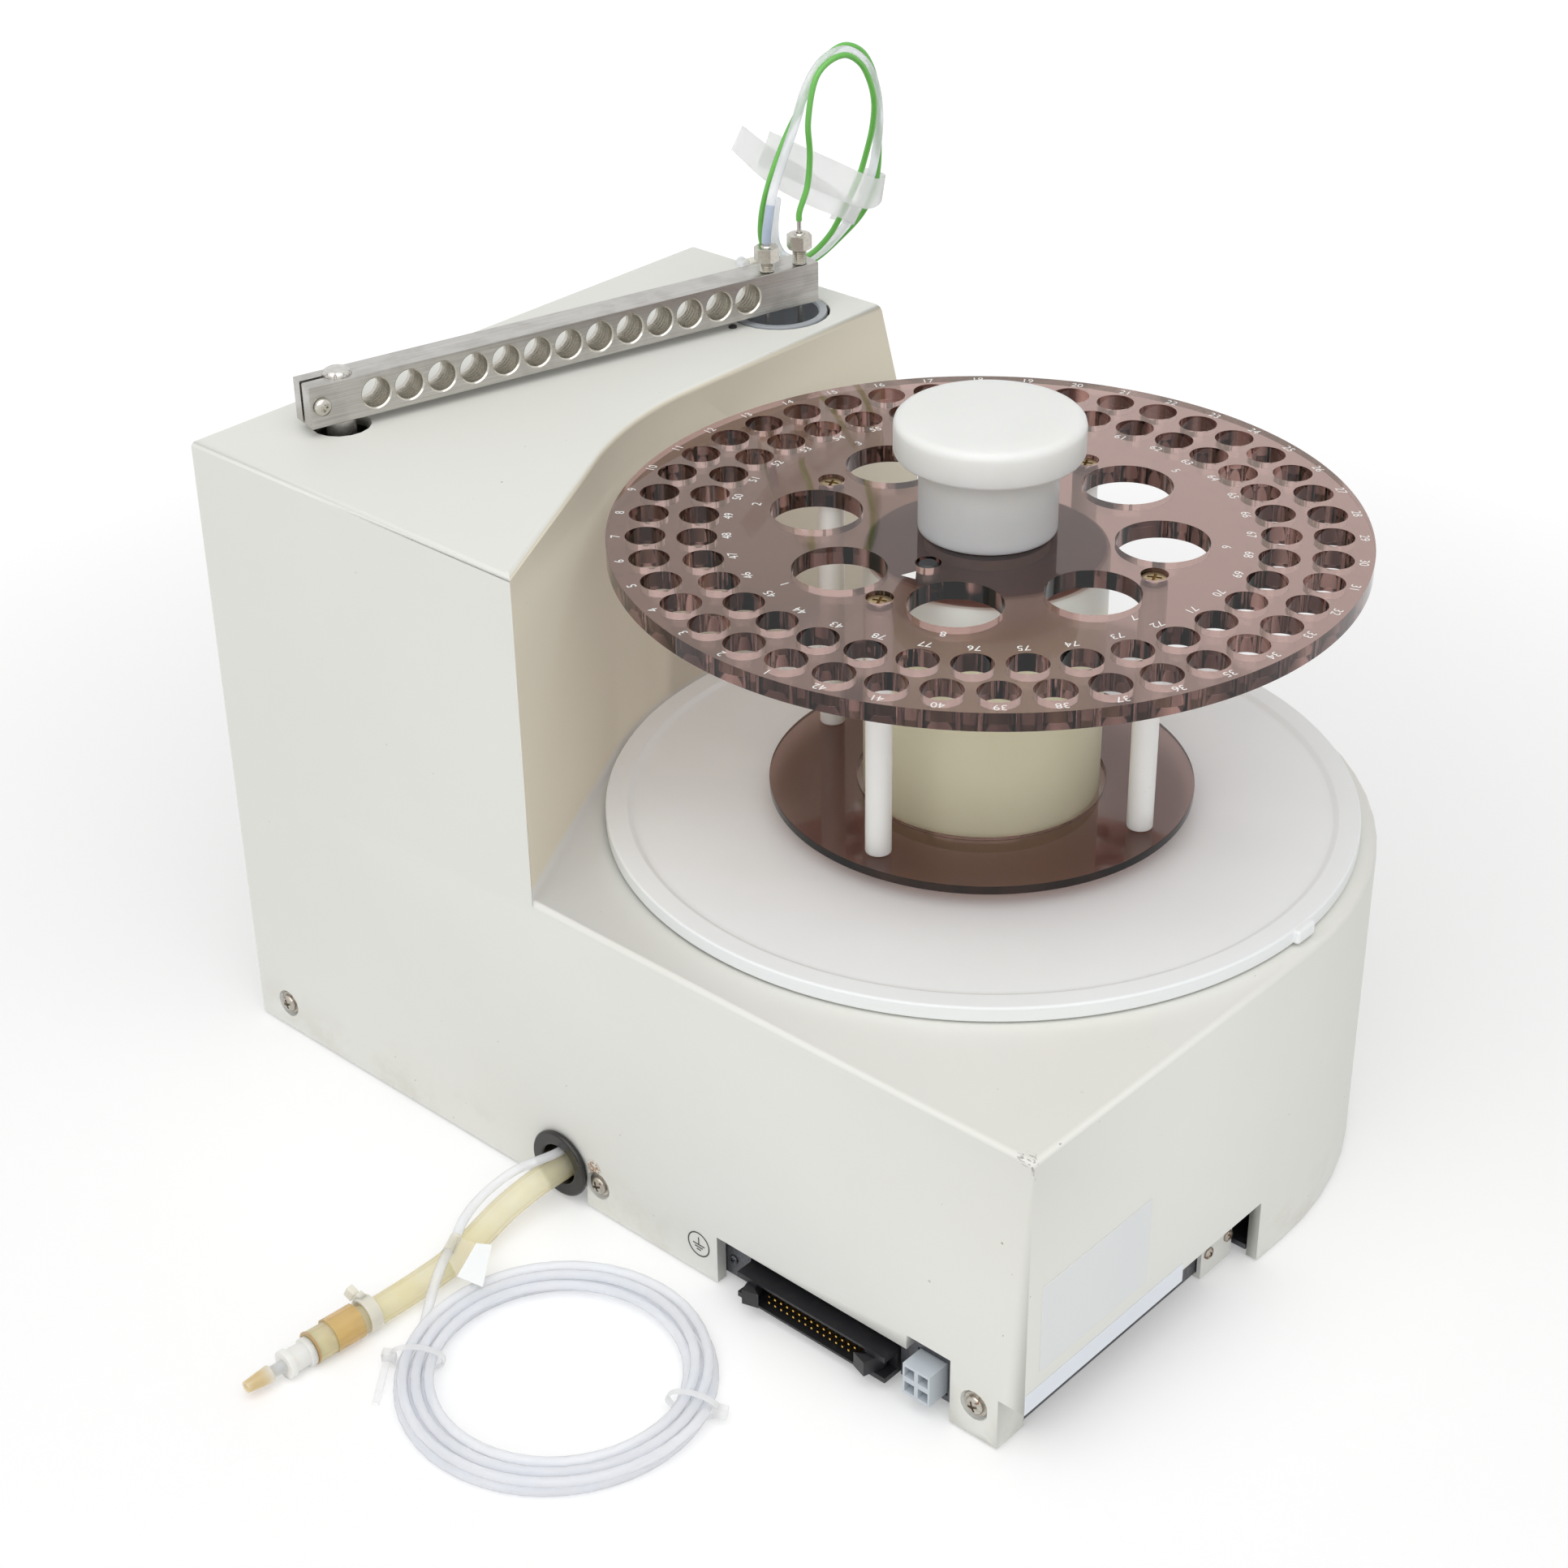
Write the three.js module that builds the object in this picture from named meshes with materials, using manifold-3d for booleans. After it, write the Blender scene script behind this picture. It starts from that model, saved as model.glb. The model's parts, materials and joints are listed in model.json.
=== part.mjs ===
// Bench autosampler: a moulded cover with a rear tower, a turntable that carries a two-deck tube rack,
// and a hollow swing arm that lifts two needles out of a rinse cup.
// Millimetres, +Z up. The pieces are laid out about the turntable axis, with the ground at z = 0, the
// front face towards -Y and the connectors on the left face, towards -X. The last lines move the whole
// to stand centred over the origin.
import * as THREE from 'three';
import { mergeVertices } from 'three/addons/utils/BufferGeometryUtils.js';
import Module from 'manifold-3d';

const wasm = await Module();
wasm.setup();

const radians = THREE.MathUtils.degToRad;

// A point turned about the origin.
function turnedPoint([x, y], degrees) {
  const cos = Math.cos(radians(degrees));
  const sin = Math.sin(radians(degrees));
  return [x * cos - y * sin, x * sin + y * cos];
}

// General fits
const SEAT_GAP = 0.3; // between faces that touch
const RUN_GAP = 0.15; // radial, between a shaft and its bore
const OVERRUN = 1; // how far a cut passes the face that it leaves
const NEAR_MERGE = 0.0001; // points closer than this are one
const DOME_SHARE = 0.5; // of a screw head's depth, taken by its rounded edge

// Plan of the rack and the tray, from the turntable axis outwards
const SMALL_HOLE_RADIUS = 6;
const SMALL_HOLE_SIDES = 8;
const INNER_HOLES = 36;
const INNER_HOLE_CIRCLE = 91.4;
const INNER_HOLE_DEGREES = 185.87;
const OUTER_HOLES = 42;
const HOLE_CIRCLE_STEP = 16.14;
const OUTER_HOLE_CIRCLE = INNER_HOLE_CIRCLE + HOLE_CIRCLE_STEP;
const OUTER_HOLE_DEGREES = 194.59;
const DISC_MARGIN = 12.46; // outside the outer holes' centres
const DISC_RADIUS = OUTER_HOLE_CIRCLE + DISC_MARGIN;
const TRAY_PAST_DISC = 4.3;
const TRAY_RADIUS = DISC_RADIUS + TRAY_PAST_DISC;
const TRAY_ROOM = 2.7; // between the tray and the tower
const TOWER_HOLLOW_RADIUS = TRAY_RADIUS + TRAY_ROOM; // the tower front wraps round the turntable
const HOLLOW_EDGE = 3;
const ROUND_RADIUS = TOWER_HOLLOW_RADIUS + HOLLOW_EDGE; // right front round, and the front and right faces

// Plan of the tower: the cup stands behind the hollow, and the shaft lies an arm's length from the cup
const COVER_WALL = 4;
const BODY_LEFT = 138.5; // left face, from the turntable axis
const SHAFT_FROM_LEFT = 40.5;
const ARM_DEGREES = -14.62;
const BAR_HOLES = 13;
const BAR_FIRST_HOLE = 10.9; // from the shaft along the bar
const BAR_PITCH = 12.07;
const NEEDLE_FROM_HOLE = 9.86; // from the last hole to the first needle
const NEEDLE_PITCH = 13.8;
const BAR_END = 6.2; // beyond the second needle
const FIRST_NEEDLE = BAR_FIRST_HOLE + (BAR_HOLES - 1) * BAR_PITCH + NEEDLE_FROM_HOLE;
const NEEDLE_PLACES = [FIRST_NEEDLE, FIRST_NEEDLE + NEEDLE_PITCH];
const BAR_RIGHT = FIRST_NEEDLE + NEEDLE_PITCH + BAR_END;
const CUP_BORE_RADIUS = 14.2;
const CUP_WALL = 3.2;
const CUP_RADIUS = CUP_BORE_RADIUS + CUP_WALL;
const CUP_PORT_GAP = 1;
const CUP_ROOM = 2.1; // between its port and the cover's front wall
const CUP_PAST_MIDDLE = 0.78765; // of the two needles, along the bar
const CUP_BEHIND_BAR = 1.2805;
const CUP_ALONG = FIRST_NEEDLE + NEEDLE_PITCH / 2 + CUP_PAST_MIDDLE;
const CUP_SHIFT = turnedPoint([CUP_ALONG, CUP_BEHIND_BAR], ARM_DEGREES); // from the shaft
const CUP_Y = TOWER_HOLLOW_RADIUS + COVER_WALL + CUP_ROOM + CUP_PORT_GAP + CUP_RADIUS;
const SHAFT_X = -(BODY_LEFT - SHAFT_FROM_LEFT);
const SHAFT_Y = CUP_Y - CUP_SHIFT[1];
const SHAFT_PLACE = [SHAFT_X, SHAFT_Y];
const CUP_PLACE = [SHAFT_X + CUP_SHIFT[0], CUP_Y];
const BACK_BEHIND_SHAFT = 28;
const BODY_BACK = SHAFT_Y + BACK_BEHIND_SHAFT;
const CUP_TO_EDGE = 9; // from its port to the right edge of the tower top
const TOWER_RIGHT_TOP = CUP_PLACE[0] + CUP_RADIUS + CUP_PORT_GAP + CUP_TO_EDGE;

// Cover
const COVER_BASE = 1;
const DECK_TOP = 113.5;
const TOWER_HEIGHT = 115.1; // over the deck
const TOWER_TOP = DECK_TOP + TOWER_HEIGHT;
const EDGE_ROUND = 2;
const TOWER_SINK = 10; // the tower's root below the deck
const TOWER_TANGENT_DEGREES = 118;
const TOWER_SLANT_START = 2.5; // above the deck
const SPINDLE_FLANGE_RADIUS = 16;
const SPINDLE_PORT_GAP = 4;
const SPINDLE_PORT_RADIUS = SPINDLE_FLANGE_RADIUS + SPINDLE_PORT_GAP;
const SHAFT_RADIUS = 5;
const SHAFT_PORT_GAP = 5;
const SHAFT_PORT_RADIUS = SHAFT_RADIUS + SHAFT_PORT_GAP;
const FRONT_LIFT_RIGHT = -59; // the front face stops short of the ground from the left to here
const FRONT_LIFT_TOP = 20.3;
const NOTCH_RIGHT = -16;
const NOTCH_ABOVE_LIFT = 4.2;
const NOTCH_TOP = FRONT_LIFT_TOP + NOTCH_ABOVE_LIFT;
const FRONT_SET_BACK = 9.6;
const CORNER_FOOT_WIDTH = 13;
const CORNER_FOOT_TOP = FRONT_LIFT_TOP + COVER_WALL;
const SIDE_PORT_BEHIND = 11.3; // beyond the header's rear end
const SIDE_PORT_BEFORE = 4.8; // beyond the socket's front end
const SIDE_PORT_ABOVE = 5.8; // over the header
const SIDE_PORT_STEP_BEHIND = 1.7; // beyond the socket's rear end
const SIDE_PORT_STEP_ABOVE = 7.4; // over the socket
const REAR_SCREW_FROM_BACK = 15.5;
const REAR_SCREW_Z = 11.2;
const MIDDLE_SCREW_BEFORE = 16.3; // in front of the grommet's middle
const MIDDLE_SCREW_Z = 11.7;
const FRONT_SCREW_FROM_FRONT = 18.5;
const FRONT_SCREW_Z = 13;
const SCREW_HEAD_RADIUS = 4.5;
const SCREW_HEAD_DEPTH = 1.6;
const SCREW_SHANK_RADIUS = 2;
const SCREW_SHANK_LENGTH = 8;
const SCREW_RECESS_DEPTH = 1.8;
const SCREW_RECESS_GAP = 0.75;

// Chassis
const PLATE_BOTTOM = 3.2;
const PLATE_THICKNESS = 2;
const FLANGE_TOP = 30;
const FRONT_FLANGE_TOP = 27;
const RIGHT_FLANGE_FRONT = 5;
const WINDOW_GAP = 0.6;
const FOOT_RADIUS = 8;
const FOOT_FROM_LEFT = 26.5;
const FOOT_FROM_FRONT = 38;
const FOOT_FROM_ROUND = 22.5;
const FOOT_ROUND_DEGREES = -46.5;
const FOOT_FROM_RIGHT = 28;
const FOOT_FROM_BACK = 30;
const FOOT_PLACES = [
  [-(BODY_LEFT - FOOT_FROM_LEFT), -(ROUND_RADIUS - FOOT_FROM_FRONT)],
  turnedPoint([ROUND_RADIUS - FOOT_FROM_ROUND, 0], FOOT_ROUND_DEGREES),
  [-(BODY_LEFT - FOOT_FROM_LEFT), BODY_BACK - FOOT_FROM_BACK],
  [ROUND_RADIUS - FOOT_FROM_RIGHT, BODY_BACK - FOOT_FROM_BACK],
];
const FOOT_NAMES = ['foot_front_left', 'foot_front_right', 'foot_rear_left', 'foot_rear_right'];

// Notch bracket
const BRACKET_FROM_NOTCH = 3;
const BRACKET_RIGHT = NOTCH_RIGHT - BRACKET_FROM_NOTCH;
const BRACKET_WIDTH = 17;
const BRACKET_BOTTOM = 1.2;
const BRACKET_BELOW_NOTCH = 1.5;
const BRACKET_TOP = NOTCH_TOP - BRACKET_BELOW_NOTCH;
const BRACKET_THICKNESS = 1.5;
const BRACKET_FOOT = 10;

// Grommet
const GROMMET_Y = 63.6;
const GROMMET_Z = 13.5;
const GROMMET_BORE_RADIUS = 7.2;
const GROMMET_WALL = 3.2;
const GROMMET_NECK_RADIUS = GROMMET_BORE_RADIUS + GROMMET_WALL;
const GROMMET_PORT_GAP = 0.5;
const GROMMET_PORT_RADIUS = GROMMET_NECK_RADIUS + GROMMET_PORT_GAP;
const GROMMET_LIP_OVERLAP = 1.3;
const GROMMET_LIP_RADIUS = GROMMET_PORT_RADIUS + GROMMET_LIP_OVERLAP;
const GROMMET_LIP = 2.2;
const SCREW_PLACES = [ // y, z on the left face
  [BODY_BACK - REAR_SCREW_FROM_BACK, REAR_SCREW_Z],
  [GROMMET_Y - MIDDLE_SCREW_BEFORE, MIDDLE_SCREW_Z],
  [-(ROUND_RADIUS - FRONT_SCREW_FROM_FRONT), FRONT_SCREW_Z],
];

// Circuit board, box header and power socket
const BOARD_THICKNESS = 1.6;
const BOARD_BEFORE = 8.6; // in front of the socket
const BOARD_BEHIND = 22; // behind the header
const BOARD_TOP = 62;
const SOCKET_FROM_FRONT = 32.6;
const SOCKET_WIDTH = 10.5;
const SOCKET_FRONT = -(ROUND_RADIUS - SOCKET_FROM_FRONT);
const SOCKET_REAR = SOCKET_FRONT + SOCKET_WIDTH;
const HEADER_FROM_SOCKET = 7.9;
const HEADER_LENGTH = 61;
const HEADER_FRONT = SOCKET_REAR + HEADER_FROM_SOCKET;
const HEADER_REAR = HEADER_FRONT + HEADER_LENGTH;
const BOARD_FRONT = SOCKET_FRONT - BOARD_BEFORE;
const BOARD_REAR = HEADER_REAR + BOARD_BEHIND;
const HEADER_BOTTOM = 3.7;
const HEADER_HEIGHT = 10;
const HEADER_DEPTH = 9;
const HEADER_BASE = 3;
const HEADER_WALL = 0.9;
const HEADER_TOWER = 8; // length of the latch tower at each end
const HEADER_SLOT_WALL = 1.9;
const PIN_PITCH = 2.54;
const PIN_COLUMNS = 15;
const PIN_ROWS = 2;
const PIN_WIDTH = 0.64;
const PIN_LENGTH = 5.2;
const LATCH_LENGTH = 7.7;
const LATCH_WIDTH = 3.4;
const LATCH_ROUND_STEPS = 4;
const LATCH_HOOK = 2.4;
const LATCH_PIVOT_FROM_END = 4.6;
const LATCH_PIVOT_DEPTH = 1.9; // in front of the header's base
const LATCH_LEAN_DEGREES = 17;
const LATCH_GAP = 0.35;
const SOCKET_BOTTOM = 6;
const SOCKET_HEIGHT = 11.6;
const SOCKET_DEPTH = 10;
const SOCKET_PORT = 3.8;
const SOCKET_PORT_DEPTH = 8;
const SOCKET_PORTS = 2; // each way

// Turntable drive
const SPINDLE_RADIUS = 6;
const SPINDLE_FLANGE = 3;
const BEARING_RADIUS = 11;
const BEARING_HEIGHT = 7;
const BEARING_BOTTOM = 14;
const SPINDLE_ABOVE = 0.2; // over the lower bearing's underside
const SPINDLE_BOTTOM = BEARING_BOTTOM + SPINDLE_ABOVE;
const HOUSING_BORE_RADIUS = BEARING_RADIUS + RUN_GAP;
const HOUSING_WALL = 4;
const HOUSING_FLANGE_RADIUS = 32;
const HOUSING_FLANGE = 5;
const HOUSING_BELOW_DECK = 33.5;
const HOUSING_TOP = DECK_TOP - HOUSING_BELOW_DECK;
const HOUSING_ARM = 4;
const HOUSING_ARM_WIDTH = 44;
const FLANK_STEPS = 1; // on each side of a tooth
const GEAR_MODULE = 2;
const TABLE_GEAR_TEETH = 36;
const TABLE_PINION_TEETH = 12;
const GEAR_OVER_HOUSING = 8;
const TABLE_GEAR_BOTTOM = HOUSING_TOP + GEAR_OVER_HOUSING;
const TABLE_GEAR_WIDTH = 8;
const TABLE_GEAR_HUB_RADIUS = 10;
const TABLE_PINION_OVERHANG = 2;
const TABLE_MOTOR_DEGREES = 200;
const MOTOR_SIDE = 42;
const MOTOR_LENGTH = 38;
const MOTOR_BORE_RADIUS = 3;
const MOTOR_BORE_DEPTH = 14;
const MOTOR_PORT_RADIUS = 6; // in the plate that a motor sits against
const MOTOR_SHAFT_RADIUS = 2.5;
const MOTOR_SHAFT_SEAT = 12; // length of the shaft inside the motor
const PRESSURE_DEGREES = 25;
const BACKLASH = 0.16;
const TOOTH_ROOT_SHARE = 1.25; // of the module, below the pitch line

// Turntable tray and hub
const TRAY_RUN = 0.5; // over the deck
const TRAY_FLOOR = 2;
const TRAY_RIM_HEIGHT = 5.5;
const TRAY_CREST_WIDTH = 3.3;
const TRAY_RIM_WIDTH = 8.8; // from the outside to the foot of its slope
const TRAY_FOOT_RADIUS = TRAY_RADIUS - TRAY_RIM_WIDTH;
const TRAY_EDGE = 1;
const DRUM_RADIUS = 39;
const DRUM_EDGE = 2;
const DRUM_BOSS_RADIUS = 20;
const DOWEL_RADIUS = 3.6;
const DOWEL_PLACE = [-32.2, -2.5];
const DOWEL_POINT = 1;

// Tube rack
const LOWER_DISC_ABOVE = 7.8; // over the tray's floor
const LOWER_DISC_THICKNESS = 3;
const LOWER_DISC_BOTTOM = DECK_TOP + TRAY_RUN + TRAY_FLOOR + LOWER_DISC_ABOVE;
const POST_HEIGHT = 83.3;
const DISC_BOTTOM = LOWER_DISC_BOTTOM + LOWER_DISC_THICKNESS + SEAT_GAP + POST_HEIGHT + SEAT_GAP;
const DISC_THICKNESS = 6;
const DRUM_BOSS_HEIGHT = 3.4;
const DRUM_TOP = DISC_BOTTOM - SEAT_GAP - DRUM_BOSS_HEIGHT;
const LARGE_HOLES = 8;
const LARGE_HOLE_RADIUS = 14.8;
const LARGE_HOLE_CIRCLE = 55.13;
const LARGE_HOLE_DEGREES = 208.59;
const DOWEL_GAP = 0.5;
const POST_COUNT = 4;
const POST_CIRCLE = 60;
const POST_DEGREES = 186.03;
const POST_RADIUS = 4.25;
const POST_SPIGOT_RADIUS = 2.2;
const LOWER_DISC_MARGIN = 10; // outside the posts' centres
const LOWER_DISC_RADIUS = POST_CIRCLE + LOWER_DISC_MARGIN;
const DRUM_ROOM = 2;
const LOWER_DISC_BORE = DRUM_RADIUS + DRUM_ROOM;
const RACK_SCREW_HEAD_RADIUS = 4.1;
const RACK_SCREW_RADIUS = 2;
const RACK_SCREW_LENGTH = 16;
const RACK_SCREW_CONE = 2.2;
const POST_BORE_GAP = 0.4; // round the screw
const POST_BORE_RADIUS = RACK_SCREW_RADIUS + POST_BORE_GAP;
const POST_BORE_BELOW = 4.3; // under the screw's tip
const POST_BORE_DEPTH = RACK_SCREW_LENGTH + POST_BORE_BELOW - DISC_THICKNESS - SEAT_GAP;
const KNOB_STEM_RADIUS = 22;
const KNOB_STEM_HEIGHT = 25;
const KNOB_CAP_OVERHANG = 8;
const KNOB_CAP_RADIUS = KNOB_STEM_RADIUS + KNOB_CAP_OVERHANG;
const KNOB_CAP_HEIGHT = 12.3;
const KNOB_STEM_TOP = DISC_BOTTOM + DISC_THICKNESS + SEAT_GAP + KNOB_STEM_HEIGHT;
const KNOB_TOP = KNOB_STEM_TOP + KNOB_CAP_HEIGHT;
const KNOB_EDGE = 2.5;
const KNOB_WALL = 3;
const KNOB_DISH_RADIUS = KNOB_STEM_RADIUS - KNOB_WALL;
const KNOB_DISH_DEPTH = 12;

// Arm, in its own frame: along the bar, with the shaft at zero
const SHAFT_SOCKET_WALL = 1;
const SHAFT_SOCKET_RADIUS = SHAFT_RADIUS - SHAFT_SOCKET_WALL;
const SHAFT_SOCKET_DEPTH = 3.5;
const BAR_OVER_TOWER = 3.2;
const BAR_BOTTOM = TOWER_TOP + BAR_OVER_TOWER;
const BAR_HEIGHT = 14.8;
const BAR_CHEEK = 0.85; // on each side of the shaft
const BAR_WIDTH = 2 * (SHAFT_RADIUS + RUN_GAP + BAR_CHEEK);
const BAR_LEFT = -13;
const BAR_HOLE_RADIUS = 5.1;
const BAR_HOLE_SIDES = 12;
const CLAMP_SLOT = 1.5;
const CLAMP_SCREW_PLACE = -8.8;
const CLAMP_HEAD_RADIUS = 2.7;
const CLAMP_HEAD = 1.8;
const CLAMP_SHANK_RADIUS = 1.4;
const NEEDLE_OFFSET = -3;
const NEEDLE_RADIUS = 0.8;
const NEEDLE_ABOVE_FLOOR = 12; // of the cup
const NEEDLE_RISES = [0.4, 4.8]; // out of the fittings
const NEEDLE_POINT = 3;
const FITTING_STUB_RADIUS = 2.3;
const FITTING_STUBS = [3.6, 5.3];
const FITTING_NUT = 5;
const FITTING_NUT_RADIUS = 4.4;
const NEEDLE_GAP = 0.35;
const FITTING_BORE_RADIUS = NEEDLE_RADIUS + NEEDLE_GAP;

// Rinse cup
const CUP_RIM_ABOVE = 0.4; // over the tower top
const CUP_DEPTH = 105;
const CUP_FLOOR = TOWER_TOP + CUP_RIM_ABOVE - CUP_DEPTH;
const CUP_FLOOR_THICKNESS = 4;
const CUP_EDGE = 0.8;
const CUP_STEM_RADIUS = 9;
const CUP_FOOT_RADIUS = 18;
const CUP_FOOT = 4;

// Arm lift and swing, inside the tower
const COLUMN_PAST_SHAFT_LEFT = 28;
const COLUMN_PAST_SHAFT_RIGHT = 48;
const COLUMN_PAST_SHAFT_FRONT = 34;
const COLUMN_PAST_SHAFT_BACK = 20;
const COLUMN_LEFT = SHAFT_X - COLUMN_PAST_SHAFT_LEFT;
const COLUMN_RIGHT = SHAFT_X + COLUMN_PAST_SHAFT_RIGHT;
const COLUMN_FRONT = SHAFT_Y - COLUMN_PAST_SHAFT_FRONT;
const COLUMN_BACK = SHAFT_Y + COLUMN_PAST_SHAFT_BACK;
const COLUMN_PLATE = 4;
const COLUMN_BELOW_TOWER = 16.6;
const COLUMN_TOP = TOWER_TOP - COLUMN_BELOW_TOWER;
const BUSH_RADIUS = 8;
const BUSH_FLANGE_RADIUS = 12;
const BUSH_FLANGE = 2;
const ROD_FROM_SHAFT = 36;
const ROD_X = SHAFT_X + ROD_FROM_SHAFT;
const ROD_RADIUS = 4;
const ROD_SEAT = 3; // length of each end of the rod in its plate
const RACK_OVER_PLATE = 8.4;
const RACK_BOTTOM = PLATE_BOTTOM + PLATE_THICKNESS + RACK_OVER_PLATE;
const CARRIAGE_OVER_RACK = 46.4; // its underside, over the rack's foot
const CARRIAGE_BOTTOM = RACK_BOTTOM + CARRIAGE_OVER_RACK;
const SHAFT_BELOW_CARRIAGE = 4;
const SHAFT_BOTTOM = CARRIAGE_BOTTOM - SHAFT_BELOW_CARRIAGE;
const CARRIAGE_HEIGHT = 16;
const CARRIAGE_PAST_SHAFT_LEFT = 28;
const CARRIAGE_PAST_ROD = 16.7;
const CARRIAGE_PAST_SHAFT_FRONT = 28;
const CARRIAGE_PAST_SHAFT_BACK = 12;
const CARRIAGE_LEFT = SHAFT_X - CARRIAGE_PAST_SHAFT_LEFT;
const CARRIAGE_RIGHT = ROD_X + CARRIAGE_PAST_ROD;
const CARRIAGE_FRONT = SHAFT_Y - CARRIAGE_PAST_SHAFT_FRONT;
const CARRIAGE_BACK = SHAFT_Y + CARRIAGE_PAST_SHAFT_BACK;
const FINE_MODULE = 1;
const SWING_GEAR_TEETH = 28;
const SWING_PINION_TEETH = 12;
const SWING_GEAR_ABOVE = 0.5; // running gap over the carriage
const SWING_GEAR_HUB = 2.5;
const SWING_GEAR_HUB_RADIUS = 9;
const SWING_GEAR_WIDTH = 6;
const SWING_MOTOR_DEGREES = 225;
const SWING_MOTOR_RADIUS = 9.8;
const SWING_MOTOR_LENGTH = 34;
const SWING_SHAFT_RADIUS = 2;
const RACK_TEETH = 33;
const RACK_BACK = 4; // behind the tooth roots
const RACK_WIDTH = 8;
const RACK_FRONT = SHAFT_Y - RACK_WIDTH / 2;
const LIFT_PINION_TEETH = 12;
const PINION_OVER_RACK_FOOT = 101.4;
const LIFT_PINION_Z = RACK_BOTTOM + PINION_OVER_RACK_FOOT;
const LIFT_MOTOR_SIDE = 40;
const LIFT_MOTOR_LENGTH = 27;
const LIFT_PLATE_MARGIN = 2;

// Cords
const DRAIN_RADIUS = 4.75;
const DRAIN_ROUTE = [
  [-131, 63.6, 11.7], [-142, 63.6, 11.7], [-152, 64.6, 10.6], [-164, 65.2, 8.2], [-178, 63.6, 6],
  [-192, 61.6, 5], [-206, 61.2, 4.9], [-220, 61.6, 4.9], [-232, 62.4, 4.9], [-240, 63, 4.9],
  [-248, 63.6, 4.9],
];
const REDUCER_TURN_DEGREES = 175.7; // the way the hose lies at its end
const REDUCER_FLANGE_RADIUS = 4.8;
const REDUCER_FLANGE = 2.2;
const REDUCER_BODY_RADIUS = 4;
const REDUCER_BODY = 5.5;
const REDUCER_NECK_RADIUS = 2;
const REDUCER_NECK = 5;
const REDUCER_BARB_RADIUS = 2.9;
const REDUCER_BARB = 9;
const REDUCER_TIP_RADIUS = 1.9;
const REDUCER_BORE_RADIUS = 1.1;
const RINSE_RADIUS = 1.6;
const RINSE_ROUTE = [
  [-131, 63.6, 18.4], [-141, 63.6, 18.4], [-146, 65, 18.2], [-154, 70, 15.6], [-166, 71.6, 12.8],
  [-179, 67.6, 12.6], [-190, 61.4, 13.2], [-199, 55.6, 11.4], [-206, 51.4, 5],
];
const COIL_CENTRE = [-203, -0.5];
const COIL_OUTER = 49.8;
const COIL_PITCH = 4.1;
const COIL_LAYER_TURNS = 2.5;
const COIL_LAYERS = 2;
const COIL_START_DEGREES = 104;
const COIL_STEPS = 24; // points in a turn
const COIL_SIDES = 6;
const GREEN_RADIUS = 0.95;
const CLEAR_RADIUS = 1.6;
const TUBE_SIDES = 6;
const HOSE_SIDES = 12;
const HOSE_STEPS = 10;
const RINSE_STEPS = 16;
const GREEN_STEPS = 36;
const CLEAR_STEPS = 18;
// Routes of the arm's two tubes, in the arm's frame
const GREEN_ROUTE = [
  [179.4, -3, 262.3], [179.5, -3, 265], [183, -3, 274], [184.2, -3, 285.5], [183.6, -3, 297],
  [187.2, -3, 312.2], [192.6, -3, 316.7], [199.4, -3, 317.7], [205.5, -3, 313.8], [209.3, -3, 307.4],
  [211.4, -3, 299.3], [211.5, -2, 290.3], [210.1, 0, 279.7], [207.6, 2, 269.2], [203.3, 4, 259.5],
  [199, 7, 249.8], [192.2, 9.5, 243.2], [183.6, 11.5, 241.3], [176, 12, 245.9], [171.8, 10, 253.1],
  [170, 7, 262.5], [170.9, 5, 271.8], [174.2, 4, 281.7], [179.4, 4, 291.8], [185.7, 4, 301.3],
  [191.2, 4, 310.4], [196.7, 4, 316.5], [203.5, 4, 318.8], [210.4, 4, 315.9], [215.2, 4, 309],
  [217.3, 4, 300.8], [217.7, 4, 290.4], [219.2, 5, 279.5], [219.9, 7, 268.3], [219.9, 11, 258.7],
  [217.7, 15, 250.6], [211.8, 18, 243.6], [204.1, 20, 237.4], [195.8, 22, 233],
];
const CLEAR_ROUTE = [
  [165.6, -3, 256.2], [165.6, -3, 259.4], [166.6, -3, 265.5], [168.8, -2, 272.8], [171.9, -1, 279.2],
  [175.7, 0, 286.3], [180.6, 0.5, 296.3], [184.4, 0.5, 306.2], [189.2, 0.5, 313.6], [194.6, 0.5, 317.4],
  [201.1, 0.5, 318.3], [207.2, 0.5, 315.3], [212.1, 0.5, 309.3], [214.9, 0.5, 301.2],
  [216, 0.5, 291.7], [215.7, 1, 282.8], [215.4, 3, 273.4], [214.3, 6, 263.7], [211.7, 9, 255.4],
  [207.4, 12, 248.1], [200.5, 14.5, 241.4], [192.9, 16, 238.6], [185.6, 16, 242], [179.9, 13, 249],
  [177.7, 10.5, 257.8], [177.9, 9, 267.2],
];

// Facets
const ROUND_SIDES = 16;
const MIDDLE_SIDES = 24;
const WIDE_SIDES = 40;
const RIM_SIDES = 64;
const SMALL_SIDES = 8;
const NUT_SIDES = 6;
const LARGE_SIDES = 16;
const ARC_STEPS = 16;
const TOWER_ARC_STEPS = 8;
const EDGE_STEPS = 2;


// Finishes

function finish(color, roughness, metalness, opacity = 1) {
  const options = { color, roughness, metalness, flatShading: true };
  return new THREE.MeshStandardMaterial({ ...options, opacity, transparent: opacity < 1 });
}

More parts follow.
